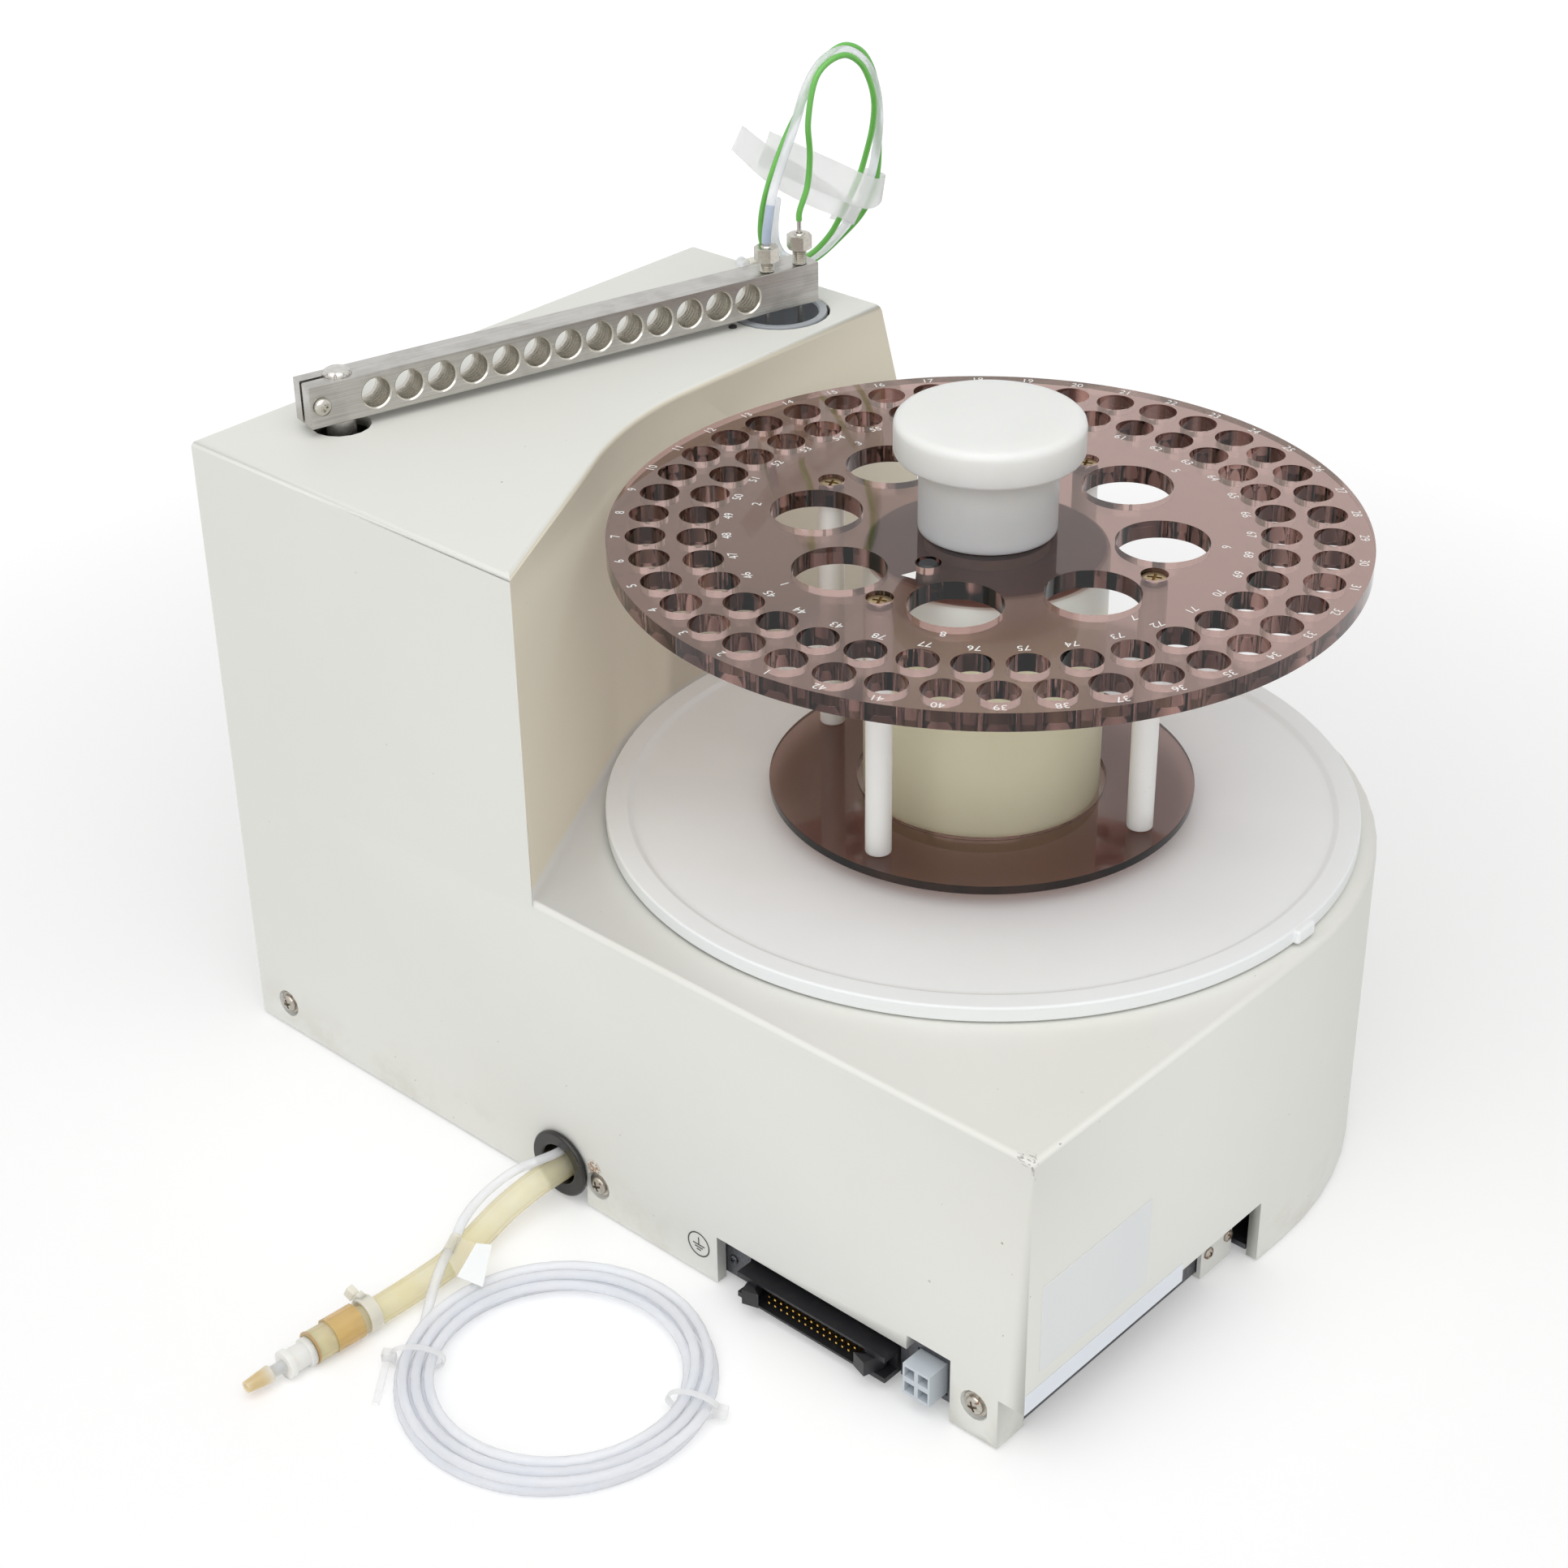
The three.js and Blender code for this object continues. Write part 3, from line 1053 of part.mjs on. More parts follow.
function buildHousing() {
  const outer = HOUSING_BORE_RADIUS + HOUSING_WALL;
  const tubePart = rod(outer, seatZ, HOUSING_TOP, [0, 0], MIDDLE_SIDES);
  const flange = rod(HOUSING_FLANGE_RADIUS, seatZ, seatZ + HOUSING_FLANGE, [0, 0], MIDDLE_SIDES);
  const half = HOUSING_ARM_WIDTH / 2;
  const low = HOUSING_TOP - HOUSING_ARM;
  const arm = block([0, -half, low], [tableCentres + half, half, HOUSING_TOP]);
  arm.rotateZ(radians(TABLE_MOTOR_DEGREES));
  const bore = rod(HOUSING_BORE_RADIUS, BEARING_BOTTOM - SEAT_GAP, HOUSING_TOP + OVERRUN);
  const pinionHole = rod(MOTOR_PORT_RADIUS, low - OVERRUN, HOUSING_TOP + OVERRUN, tableMotorPlace);
  const geometry = worked(tubePart, [flange, arm], [bore, pinionHole]);
  addPiece(autosampler, 'spindle_housing', geometry, greyMetal());
  const inner = SPINDLE_RADIUS + RUN_GAP;
  const bottoms = [BEARING_BOTTOM, HOUSING_TOP - BEARING_HEIGHT - SEAT_GAP];
  ['spindle_bearing_lower', 'spindle_bearing_upper'].forEach((name, i) => {
    const bottom = bottoms[i];
    const top = bottom + BEARING_HEIGHT;
    const profile = [[inner, bottom], [BEARING_RADIUS, bottom], [BEARING_RADIUS, top], [inner, top]];
    addPiece(autosampler, name, turnedRing(profile), steel());
  });
}

function buildTableMotor() {
  const top = HOUSING_TOP - HOUSING_ARM - SEAT_GAP;
  const half = MOTOR_SIDE / 2;
  const low = [-half, -half, top - MOTOR_LENGTH];
  const body = block(low, [half, half, top]);
  const bore = rod(MOTOR_BORE_RADIUS, top - MOTOR_BORE_DEPTH, top + OVERRUN);
  const geometry = turnedTo(worked(body, [], [bore]), TABLE_MOTOR_DEGREES, tableMotorPlace);
  addPiece(autosampler, 'turntable_motor', geometry, motorBlack());
  const bottom = TABLE_GEAR_BOTTOM - TABLE_PINION_OVERHANG;
  const width = TABLE_GEAR_WIDTH + 2 * TABLE_PINION_OVERHANG;
  const phase = TABLE_MOTOR_DEGREES + 180 + halfToothDegrees(TABLE_PINION_TEETH);
  const pinion = spurGear(TABLE_PINION_TEETH, GEAR_MODULE, bottom, width, 0, phase, FLANK_STEPS);
  const shaft = rod(MOTOR_SHAFT_RADIUS, top - MOTOR_SHAFT_SEAT, bottom + width / 2);
  const joined = worked(pinion, [shaft], []);
  joined.translate(tableMotorPlace[0], tableMotorPlace[1], 0);
  addPiece(autosampler, 'turntable_pinion', joined, steel());
}

function buildSpindle() {
  const flangeTop = trayBottom - SEAT_GAP;
  const flangeBottom = flangeTop - SPINDLE_FLANGE;
  const profile = [
    [0, SPINDLE_BOTTOM], [SPINDLE_RADIUS, SPINDLE_BOTTOM], [SPINDLE_RADIUS, flangeBottom],
    [SPINDLE_FLANGE_RADIUS, flangeBottom], [SPINDLE_FLANGE_RADIUS, flangeTop], [0, flangeTop],
  ];
  addPiece(autosampler, 'spindle', turned(profile), steel());
  const bore = SPINDLE_RADIUS + RUN_GAP;
  const top = TABLE_GEAR_BOTTOM + TABLE_GEAR_WIDTH;
  const gear = spurGear(TABLE_GEAR_TEETH, GEAR_MODULE, TABLE_GEAR_BOTTOM, TABLE_GEAR_WIDTH, bore,
    TABLE_MOTOR_DEGREES, FLANK_STEPS);
  const hubBottom = HOUSING_TOP + SEAT_GAP;
  const hub = TABLE_GEAR_HUB_RADIUS;
  const ring = turnedRing([[bore, hubBottom], [hub, hubBottom], [hub, top], [bore, top]]);
  addPiece(autosampler, 'turntable_gear', worked(gear, [ring], []), acetal());
}

// Tray and drum

function buildTray() {
  const floor = trayBottom + TRAY_FLOOR;
  const crest = trayBottom + TRAY_RIM_HEIGHT;
  const edge = TRAY_EDGE;
  const profile = [
    [0, trayBottom], [TRAY_RADIUS - edge, trayBottom], [TRAY_RADIUS, trayBottom + edge],
    [TRAY_RADIUS, crest - edge], [TRAY_RADIUS - edge, crest], [TRAY_RADIUS - TRAY_CREST_WIDTH, crest],
    [TRAY_RADIUS - TRAY_CREST_WIDTH - edge, crest - edge / 2], [TRAY_FOOT_RADIUS, floor], [0, floor],
  ];
  addPiece(autosampler, 'tray_pan', turned(profile, [0, 0], RIM_SIDES), whitePlastic());
  const seat = floor + SEAT_GAP;
  const boss = DISC_BOTTOM - SEAT_GAP;
  const drum = [
    [0, seat], [DRUM_RADIUS, seat], [DRUM_RADIUS, DRUM_TOP - DRUM_EDGE], [DRUM_RADIUS - DRUM_EDGE, DRUM_TOP],
    [DRUM_BOSS_RADIUS, DRUM_TOP], [DRUM_BOSS_RADIUS, boss], [0, boss],
  ];
  const top = DISC_BOTTOM + DISC_THICKNESS;
  const dowel = [
    [0, DRUM_TOP - OVERRUN], [DOWEL_RADIUS, DRUM_TOP - OVERRUN], [DOWEL_RADIUS, top - DOWEL_POINT],
    [DOWEL_RADIUS - DOWEL_POINT, top], [0, top],
  ];
  const body = turned(drum, [0, 0], WIDE_SIDES);
  addPiece(autosampler, 'hub_drum', worked(body, [turned(dowel, DOWEL_PLACE)], []), creamPlastic());
}

// Tube rack

function ringHoles(count, radius, circleRadius, startDegrees, sides) {
  const holes = [];
  for (let k = 0; k < count; k += 1) {
    const place = onCircle(circleRadius, startDegrees - (360 * k) / count);
    holes.push(circle(radius, sides, place));
  }
  return holes;
}

function postPlaces() {
  const places = [];
  for (let k = 0; k < POST_COUNT; k += 1) {
    places.push(onCircle(POST_CIRCLE, POST_DEGREES + (360 * k) / POST_COUNT));
  }
  return places;
}

function buildDiscs() {
  const top = DISC_BOTTOM + DISC_THICKNESS;
  const screwHole = RACK_SCREW_RADIUS + SEAT_GAP;
  const holes = [
    ...ringHoles(OUTER_HOLES, SMALL_HOLE_RADIUS, OUTER_HOLE_CIRCLE, OUTER_HOLE_DEGREES, SMALL_HOLE_SIDES),
    ...ringHoles(INNER_HOLES, SMALL_HOLE_RADIUS, INNER_HOLE_CIRCLE, INNER_HOLE_DEGREES, SMALL_HOLE_SIDES),
    ...ringHoles(LARGE_HOLES, LARGE_HOLE_RADIUS, LARGE_HOLE_CIRCLE, LARGE_HOLE_DEGREES, LARGE_SIDES),
    circle(DOWEL_RADIUS + DOWEL_GAP, SMALL_SIDES, DOWEL_PLACE),
    ...postPlaces().map((place) => circle(screwHole, SMALL_SIDES, place)),
  ];
  const disc = upright(circle(DISC_RADIUS, RIM_SIDES), DISC_BOTTOM, top, holes);
  const sinks = postPlaces().map((place) => {
    const wide = RACK_SCREW_HEAD_RADIUS + SEAT_GAP;
    const deep = RACK_SCREW_CONE + SEAT_GAP;
    return turned([[0, top - deep], [screwHole, top - deep], [wide, top], [wide, top + OVERRUN],
      [0, top + OVERRUN]], place, SMALL_SIDES);
  });
  addPiece(autosampler, 'top_disc', worked(disc, [], sinks), smokeAcrylic());
  const lower = upright(circle(LOWER_DISC_RADIUS, WIDE_SIDES), LOWER_DISC_BOTTOM,
    LOWER_DISC_BOTTOM + LOWER_DISC_THICKNESS,
    [circle(LOWER_DISC_BORE, WIDE_SIDES),
      ...postPlaces().map((place) => circle(POST_SPIGOT_RADIUS + RUN_GAP, ROUND_SIDES, place))]);
  addPiece(autosampler, 'lower_disc', lower, smokeAcrylic());
}

function buildPosts() {
  const bottom = LOWER_DISC_BOTTOM + LOWER_DISC_THICKNESS + SEAT_GAP;
  const top = DISC_BOTTOM - SEAT_GAP;
  const discTop = DISC_BOTTOM + DISC_THICKNESS;
  postPlaces().forEach((place, i) => {
    const post = [
      [0, LOWER_DISC_BOTTOM], [POST_SPIGOT_RADIUS, LOWER_DISC_BOTTOM], [POST_SPIGOT_RADIUS, bottom],
      [POST_RADIUS, bottom], [POST_RADIUS, top], [POST_BORE_RADIUS, top],
      [POST_BORE_RADIUS, top - POST_BORE_DEPTH], [0, top - POST_BORE_DEPTH],
    ];
    addPiece(autosampler, `rack_post_${i + 1}`, turned(post, place), whitePlastic());
    const screw = [
      [0, discTop - RACK_SCREW_LENGTH], [RACK_SCREW_RADIUS, discTop - RACK_SCREW_LENGTH],
      [RACK_SCREW_RADIUS, discTop - RACK_SCREW_CONE], [RACK_SCREW_HEAD_RADIUS, discTop],
      [0, discTop],
    ];
    addPiece(autosampler, `rack_screw_${i + 1}`, turned(screw, place, SMALL_SIDES), zinc());
  });
}

function buildKnob() {
  const bottom = DISC_BOTTOM + DISC_THICKNESS + SEAT_GAP;
  const cap = arc(KNOB_EDGE, 0, 90, EDGE_STEPS + 1, [KNOB_CAP_RADIUS - KNOB_EDGE, KNOB_TOP - KNOB_EDGE]);
  const profile = [
    [0, bottom + KNOB_DISH_DEPTH], [KNOB_DISH_RADIUS, bottom + KNOB_DISH_DEPTH],
    [KNOB_DISH_RADIUS, bottom], [KNOB_STEM_RADIUS, bottom], [KNOB_STEM_RADIUS, KNOB_STEM_TOP],
    [KNOB_CAP_RADIUS, KNOB_STEM_TOP], ...cap, [0, KNOB_TOP],
  ];
  addPiece(autosampler, 'lifting_knob', turned(profile, [0, 0], MIDDLE_SIDES), clearPlastic());
}

// Arm

const arm = new THREE.Group();
arm.position.set(...SHAFT_PLACE, 0);
arm.rotation.z = radians(ARM_DEGREES);
autosampler.add(arm);
const barTop = BAR_BOTTOM + BAR_HEIGHT;

function buildArmShaft() {
  const floor = barTop - SHAFT_SOCKET_DEPTH;
  const profile = [
    [0, SHAFT_BOTTOM], [SHAFT_RADIUS, SHAFT_BOTTOM], [SHAFT_RADIUS, barTop],
    [SHAFT_SOCKET_RADIUS, barTop], [SHAFT_SOCKET_RADIUS, floor], [0, floor],
  ];
  addPiece(arm, 'arm_shaft', turned(profile), steel());
}

function buildArmBar() {
  const middle = BAR_BOTTOM + BAR_HEIGHT / 2;
  const outline = [
    [BAR_LEFT, BAR_BOTTOM], [BAR_RIGHT, BAR_BOTTOM], [BAR_RIGHT, barTop], [BAR_LEFT, barTop],
  ];
  const holes = [];
  for (let k = 0; k < BAR_HOLES; k += 1) {
    holes.push(circle(BAR_HOLE_RADIUS, BAR_HOLE_SIDES, [BAR_FIRST_HOLE + k * BAR_PITCH, middle]));
  }
  const half = BAR_WIDTH / 2;
  const low = BAR_BOTTOM - OVERRUN;
  const high = barTop + OVERRUN;
  const bar = alongY(outline, -half, half, holes);
  const cuts = [
    rod(SHAFT_RADIUS + RUN_GAP, low, high),
    block([BAR_LEFT - OVERRUN, -CLAMP_SLOT / 2, low], [0, CLAMP_SLOT / 2, high]),
    crossRod('y', CLAMP_SHANK_RADIUS + SEAT_GAP, -half - OVERRUN, half + OVERRUN, CLAMP_SCREW_PLACE,
      middle, SMALL_SIDES),
    ...NEEDLE_PLACES.map((s) => rod(FITTING_BORE_RADIUS, low, high, [s, NEEDLE_OFFSET], SMALL_SIDES)),
  ];
  addPiece(arm, 'arm_bar', worked(bar, [], cuts), steel());
  const head = domedHead(CLAMP_HEAD_RADIUS, CLAMP_HEAD, SMALL_SIDES);
  const shank = rod(CLAMP_SHANK_RADIUS, -BAR_WIDTH, CLAMP_HEAD * DOME_SHARE, [0, 0], SMALL_SIDES);
  const screw = worked(head, [shank], []);
  screw.rotateX(Math.PI / 2);
  screw.translate(CLAMP_SCREW_PLACE, -half - SEAT_GAP, middle);
  addPiece(arm, 'arm_clamp_screw', screw, zinc());
}

function buildNeedles() {
  const names = ['rinse', 'sample'];
  NEEDLE_PLACES.forEach((s, i) => {
    const place = [s, NEEDLE_OFFSET];
    const foot = barTop + SEAT_GAP;
    const nutBottom = foot + FITTING_STUBS[i];
    const tip = CUP_FLOOR + NEEDLE_ABOVE_FLOOR;
    const top = nutBottom + FITTING_NUT + NEEDLE_RISES[i];
    const needle = turned([
      [0, tip], [NEEDLE_RADIUS, tip + NEEDLE_POINT], [NEEDLE_RADIUS, top], [0, top],
    ], place, SMALL_SIDES);
    addPiece(arm, `${names[i]}_needle`, needle, steel());
    const stub = rod(FITTING_STUB_RADIUS, foot, nutBottom + OVERRUN, place, SMALL_SIDES);
    const nut = rod(FITTING_NUT_RADIUS, nutBottom, nutBottom + FITTING_NUT, place, NUT_SIDES);
    const bore = rod(FITTING_BORE_RADIUS, foot - OVERRUN, nutBottom + FITTING_NUT + OVERRUN, place,
      SMALL_SIDES);
    addPiece(arm, `${names[i]}_fitting`, worked(stub, [nut], [bore]), zinc());
  });
}

function buildSwingGear() {
  const top = CARRIAGE_BOTTOM + CARRIAGE_HEIGHT;
  const bore = SHAFT_RADIUS + RUN_GAP;
  const bottom = top + SWING_GEAR_ABOVE;
  const teethBottom = bottom + SWING_GEAR_HUB;
  const turn = SWING_MOTOR_DEGREES - ARM_DEGREES;
  const gear = spurGear(SWING_GEAR_TEETH, FINE_MODULE, teethBottom, SWING_GEAR_WIDTH, bore, turn,
    FLANK_STEPS);
  const hubTop = teethBottom + SWING_GEAR_WIDTH;
  const hub = SWING_GEAR_HUB_RADIUS;
  const ring = turnedRing([[bore, bottom], [hub, bottom], [hub, hubTop], [bore, hubTop]]);
  addPiece(arm, 'swing_gear', worked(gear, [ring], []), acetal());
}

// Lift, inside the tower

const swingCentres = pitchRadius(SWING_GEAR_TEETH + SWING_PINION_TEETH, FINE_MODULE);
const swingMotorShift = onCircle(swingCentres, SWING_MOTOR_DEGREES);
const swingMotorPlace = SHAFT_PLACE.map((value, i) => value + swingMotorShift[i]);
const rackRoot = CARRIAGE_RIGHT + SEAT_GAP + RACK_BACK;
const rackPitchLine = rackRoot + TOOTH_ROOT_SHARE * FINE_MODULE;
const liftPinionX = rackPitchLine + pitchRadius(LIFT_PINION_TEETH, FINE_MODULE);
const rackMiddle = RACK_FRONT + RACK_WIDTH / 2;

function buildColumn() {
  const front = COLUMN_FRONT;
  const inner = COLUMN_FRONT + COLUMN_PLATE;
  const ledge = COLUMN_TOP - COLUMN_PLATE;
  const floor = seatZ + COLUMN_PLATE;
  const section = [
    [front, seatZ], [COLUMN_BACK, seatZ], [COLUMN_BACK, floor], [inner, floor],
    [inner, ledge], [COLUMN_BACK, ledge], [COLUMN_BACK, COLUMN_TOP], [front, COLUMN_TOP],
  ];
  const frame = alongX(section, COLUMN_LEFT, COLUMN_RIGHT);
  const half = LIFT_MOTOR_SIDE / 2 + LIFT_PLATE_MARGIN;
  const wing = block(
    [COLUMN_RIGHT - OVERRUN, front, LIFT_PINION_Z - half],
    [liftPinionX + half, inner, LIFT_PINION_Z + half],
  );
  const low = ledge - OVERRUN;
  const high = COLUMN_TOP + OVERRUN;
  const rodPlace = [ROD_X, SHAFT_PLACE[1]];
  const rodHole = ROD_RADIUS + RUN_GAP;
  const cuts = [
    rod(BUSH_RADIUS + RUN_GAP, low, high, SHAFT_PLACE),
    rod(rodHole, low, high, rodPlace),
    rod(rodHole, seatZ - OVERRUN, floor + OVERRUN, rodPlace),
    crossRod('y', MOTOR_PORT_RADIUS, front - OVERRUN, inner + OVERRUN, liftPinionX, LIFT_PINION_Z),
  ];
  addPiece(autosampler, 'arm_column', worked(frame, [wing], cuts), greyMetal());
  const bore = SHAFT_RADIUS + RUN_GAP;
  const flange = COLUMN_TOP + SEAT_GAP;
  const bush = turnedRing([
    [bore, ledge], [BUSH_RADIUS, ledge], [BUSH_RADIUS, flange], [BUSH_FLANGE_RADIUS, flange],
    [BUSH_FLANGE_RADIUS, flange + BUSH_FLANGE], [bore, flange + BUSH_FLANGE],
  ], SHAFT_PLACE);
  addPiece(autosampler, 'shaft_bush', bush, acetal());
  const guide = rod(ROD_RADIUS, floor - ROD_SEAT, ledge + ROD_SEAT, rodPlace);
  addPiece(autosampler, 'guide_rod', guide, steel());
}

function buildCarriage() {
  const top = CARRIAGE_BOTTOM + CARRIAGE_HEIGHT;
  const outline = [
    [CARRIAGE_LEFT, CARRIAGE_FRONT], [CARRIAGE_RIGHT, CARRIAGE_FRONT],
    [CARRIAGE_RIGHT, CARRIAGE_BACK], [CARRIAGE_LEFT, CARRIAGE_BACK],
  ];
  const holes = [
    circle(SHAFT_RADIUS + RUN_GAP, ROUND_SIDES, SHAFT_PLACE),
    circle(ROD_RADIUS + RUN_GAP, ROUND_SIDES, [ROD_X, SHAFT_PLACE[1]]),
    circle(MOTOR_BORE_RADIUS, SMALL_SIDES, swingMotorPlace),
  ];
  const carriage = upright(outline, CARRIAGE_BOTTOM, top, holes);
  addPiece(autosampler, 'lift_carriage', carriage, greyMetal());
  const motorTop = CARRIAGE_BOTTOM - SEAT_GAP;
  const body = rod(SWING_MOTOR_RADIUS, motorTop - SWING_MOTOR_LENGTH, motorTop, swingMotorPlace);
  const bore = rod(MOTOR_BORE_RADIUS, motorTop - MOTOR_BORE_DEPTH, motorTop + OVERRUN, swingMotorPlace,
    SMALL_SIDES);
  addPiece(autosampler, 'swing_motor', worked(body, [], [bore]), motorBlack());
  const phase = SWING_MOTOR_DEGREES + 180 + halfToothDegrees(SWING_PINION_TEETH);
  const bottom = top + SWING_GEAR_ABOVE + SWING_GEAR_HUB;
  const pinion = spurGear(SWING_PINION_TEETH, FINE_MODULE, bottom, SWING_GEAR_WIDTH, 0, phase, FLANK_STEPS);
  const shaft = rod(SWING_SHAFT_RADIUS, motorTop - MOTOR_SHAFT_SEAT, bottom + SWING_GEAR_WIDTH / 2,
    [0, 0], SMALL_SIDES);
  const joined = worked(pinion, [shaft], []);
  joined.translate(swingMotorPlace[0], swingMotorPlace[1], 0);
  addPiece(autosampler, 'swing_pinion', joined, steel());
}

// A rack's outline in X and Z: teeth point along +X, with a gap at the lift pinion's height.
function rackOutline() {
  const pitch = Math.PI * FINE_MODULE;
  const lean = Math.tan(radians(PRESSURE_DEGREES));
  const half = pitch / 4 - BACKLASH / 2;
  const rootHalf = half + TOOTH_ROOT_SHARE * FINE_MODULE * lean;
  const tipHalf = half - FINE_MODULE * lean;
  const tip = rackPitchLine + FINE_MODULE;
  const back = CARRIAGE_RIGHT + SEAT_GAP;
  const below = Math.floor((LIFT_PINION_Z - RACK_BOTTOM) / pitch);
  const first = LIFT_PINION_Z - (below - 1 / 2) * pitch;
  const points = [];
  for (let k = 0; k < RACK_TEETH; k += 1) {
    const z = first + k * pitch;
    points.push([rackRoot, z - rootHalf], [tip, z - tipHalf], [tip, z + tipHalf], [rackRoot, z + rootHalf]);
  }
  const last = first + (RACK_TEETH - 1) * pitch;
  const low = first - pitch / 2;
  const high = last + pitch / 2;
  return [[back, low], [rackRoot, low], ...points, [rackRoot, high], [back, high]];
}

function buildLift() {
  const rack = alongY(rackOutline(), RACK_FRONT, RACK_FRONT + RACK_WIDTH);
  addPiece(autosampler, 'lift_rack', rack, steel());
  const back = COLUMN_FRONT - SEAT_GAP;
  const half = LIFT_MOTOR_SIDE / 2;
  const low = [liftPinionX - half, back - LIFT_MOTOR_LENGTH, LIFT_PINION_Z - half];
  const body = block(low, [liftPinionX + half, back, LIFT_PINION_Z + half]);
  const bore = crossRod('y', MOTOR_BORE_RADIUS, back - MOTOR_BORE_DEPTH, back + OVERRUN, liftPinionX,
    LIFT_PINION_Z);
  addPiece(autosampler, 'lift_motor', worked(body, [], [bore]), motorBlack());
  const pinion = spurGear(LIFT_PINION_TEETH, FINE_MODULE, 0, RACK_WIDTH, 0, 180, FLANK_STEPS);
  const shaft = rod(MOTOR_SHAFT_RADIUS, 0, rackMiddle - back + MOTOR_SHAFT_SEAT);
  const joined = worked(pinion, [shaft], []);
  joined.rotateX(Math.PI / 2);
  joined.translate(liftPinionX, RACK_FRONT + RACK_WIDTH, LIFT_PINION_Z);
  addPiece(autosampler, 'lift_pinion', joined, steel());
}

// Hoses and tubes

function coilPoints() {
  const points = [];
  const turns = COIL_LAYER_TURNS;
  const half = COIL_STEPS / 2;
  const layerSteps = turns * COIL_STEPS;
  const total = COIL_LAYERS * layerSteps + half;
  const low = RINSE_RADIUS;
  const rise = COIL_PITCH;
  for (let i = 0; i <= total; i += 1) {
    const inward = Math.min(i, layerSteps);
    const outward = Math.max(0, i - layerSteps - half);
    const climb = Math.min(1, Math.max(0, (i - layerSteps) / half));
    const radius = COIL_OUTER - ((inward - outward) / COIL_STEPS) * COIL_PITCH;
    const angle = radians(COIL_START_DEGREES + (360 * i) / COIL_STEPS);
    const [x, y] = COIL_CENTRE;
    points.push([x + radius * Math.cos(angle), y + radius * Math.sin(angle), low + climb * rise]);
  }
  return points;
}

// The last points of the free tube, in line with the coil's first turn.
function coilLeadIn(coil) {
  const [start, next] = coil.slice(0, 2).map((point) => new THREE.Vector3(...point));
  const back = start.clone().sub(next).normalize();
  const reaches = [2 * RINSE_RADIUS + SEAT_GAP, SEAT_GAP];
  return reaches.map((reach) => start.clone().addScaledVector(back, reach).toArray());
}

// Smallest clear distance between parts of a wound tube that aren't neighbours along it.
function leastGap(points, radius) {
  const at = points.map((point) => new THREE.Vector3(...point));
  let least = Infinity;
  for (let i = 0; i < at.length; i += 1) {
    for (let j = i + COIL_STEPS / 2; j < at.length - 1; j += 1) {
      const nearest = new THREE.Line3(at[j], at[j + 1]).closestPointToPoint(at[i], true, new THREE.Vector3());
      least = Math.min(least, nearest.distanceTo(at[i]) - 2 * radius);
    }
  }
  return least;
}

// One unbroken tube through ring after ring of points, closed at both ends.
function woundTube(points, radius, sides) {
  const at = points.map((point) => new THREE.Vector3(...point));
  const up = new THREE.Vector3(0, 0, 1);
  const positions = [];
  at.forEach((point, i) => {
    const before = at[Math.max(0, i - 1)];
    const after = at[Math.min(at.length - 1, i + 1)];
    const along = after.clone().sub(before).normalize();
    const side = along.clone().cross(up).normalize();
    const rise = side.clone().cross(along);
    for (let k = 0; k < sides; k += 1) {
      const angle = (2 * Math.PI * k) / sides;
      const spot = point.clone().addScaledVector(side, radius * Math.cos(angle));
      spot.addScaledVector(rise, radius * Math.sin(angle));
      positions.push(...spot.toArray());
    }
  });
  const index = [];
  for (let i = 0; i + 1 < at.length; i += 1) {
    for (let k = 0; k < sides; k += 1) {
      const a = i * sides + k;
      const b = i * sides + ((k + 1) % sides);
      index.push(a, b, b + sides, a, b + sides, a + sides);
    }
  }
  const last = (at.length - 1) * sides;
  for (let k = 1; k + 1 < sides; k += 1) {
    index.push(0, k + 1, k, last, last + k, last + k + 1);
  }
  const geometry = new THREE.BufferGeometry();
  geometry.setAttribute('position', new THREE.Float32BufferAttribute(positions, 3));
  geometry.setIndex(index);
  return geometry;
}

function buildReducer() {
  const marks = [REDUCER_FLANGE, REDUCER_BODY, REDUCER_FLANGE, REDUCER_NECK, REDUCER_BARB];
  const stops = marks.reduce((list, length) => [...list, list.at(-1) + length], [SEAT_GAP]);
  const flange = REDUCER_FLANGE_RADIUS;
  const body = REDUCER_BODY_RADIUS;
  const neck = REDUCER_NECK_RADIUS;
  const bore = REDUCER_BORE_RADIUS;
  const profile = [
    [bore, stops[0]], [flange, stops[0]], [flange, stops[1]], [body, stops[1]], [body, stops[2]],
    [flange, stops[2]], [flange, stops[3]], [neck, stops[3]], [neck, stops[4]],
    [REDUCER_BARB_RADIUS, stops[4]], [REDUCER_TIP_RADIUS, stops[5]], [bore, stops[5]],
  ];
  const reducer = turnedRing(profile);
  reducer.rotateY(Math.PI / 2);
  reducer.rotateZ(radians(REDUCER_TURN_DEGREES));
  reducer.translate(...DRAIN_ROUTE.at(-1));
  addCord(autosampler, 'hose_reducer', reducer, acetal());
}

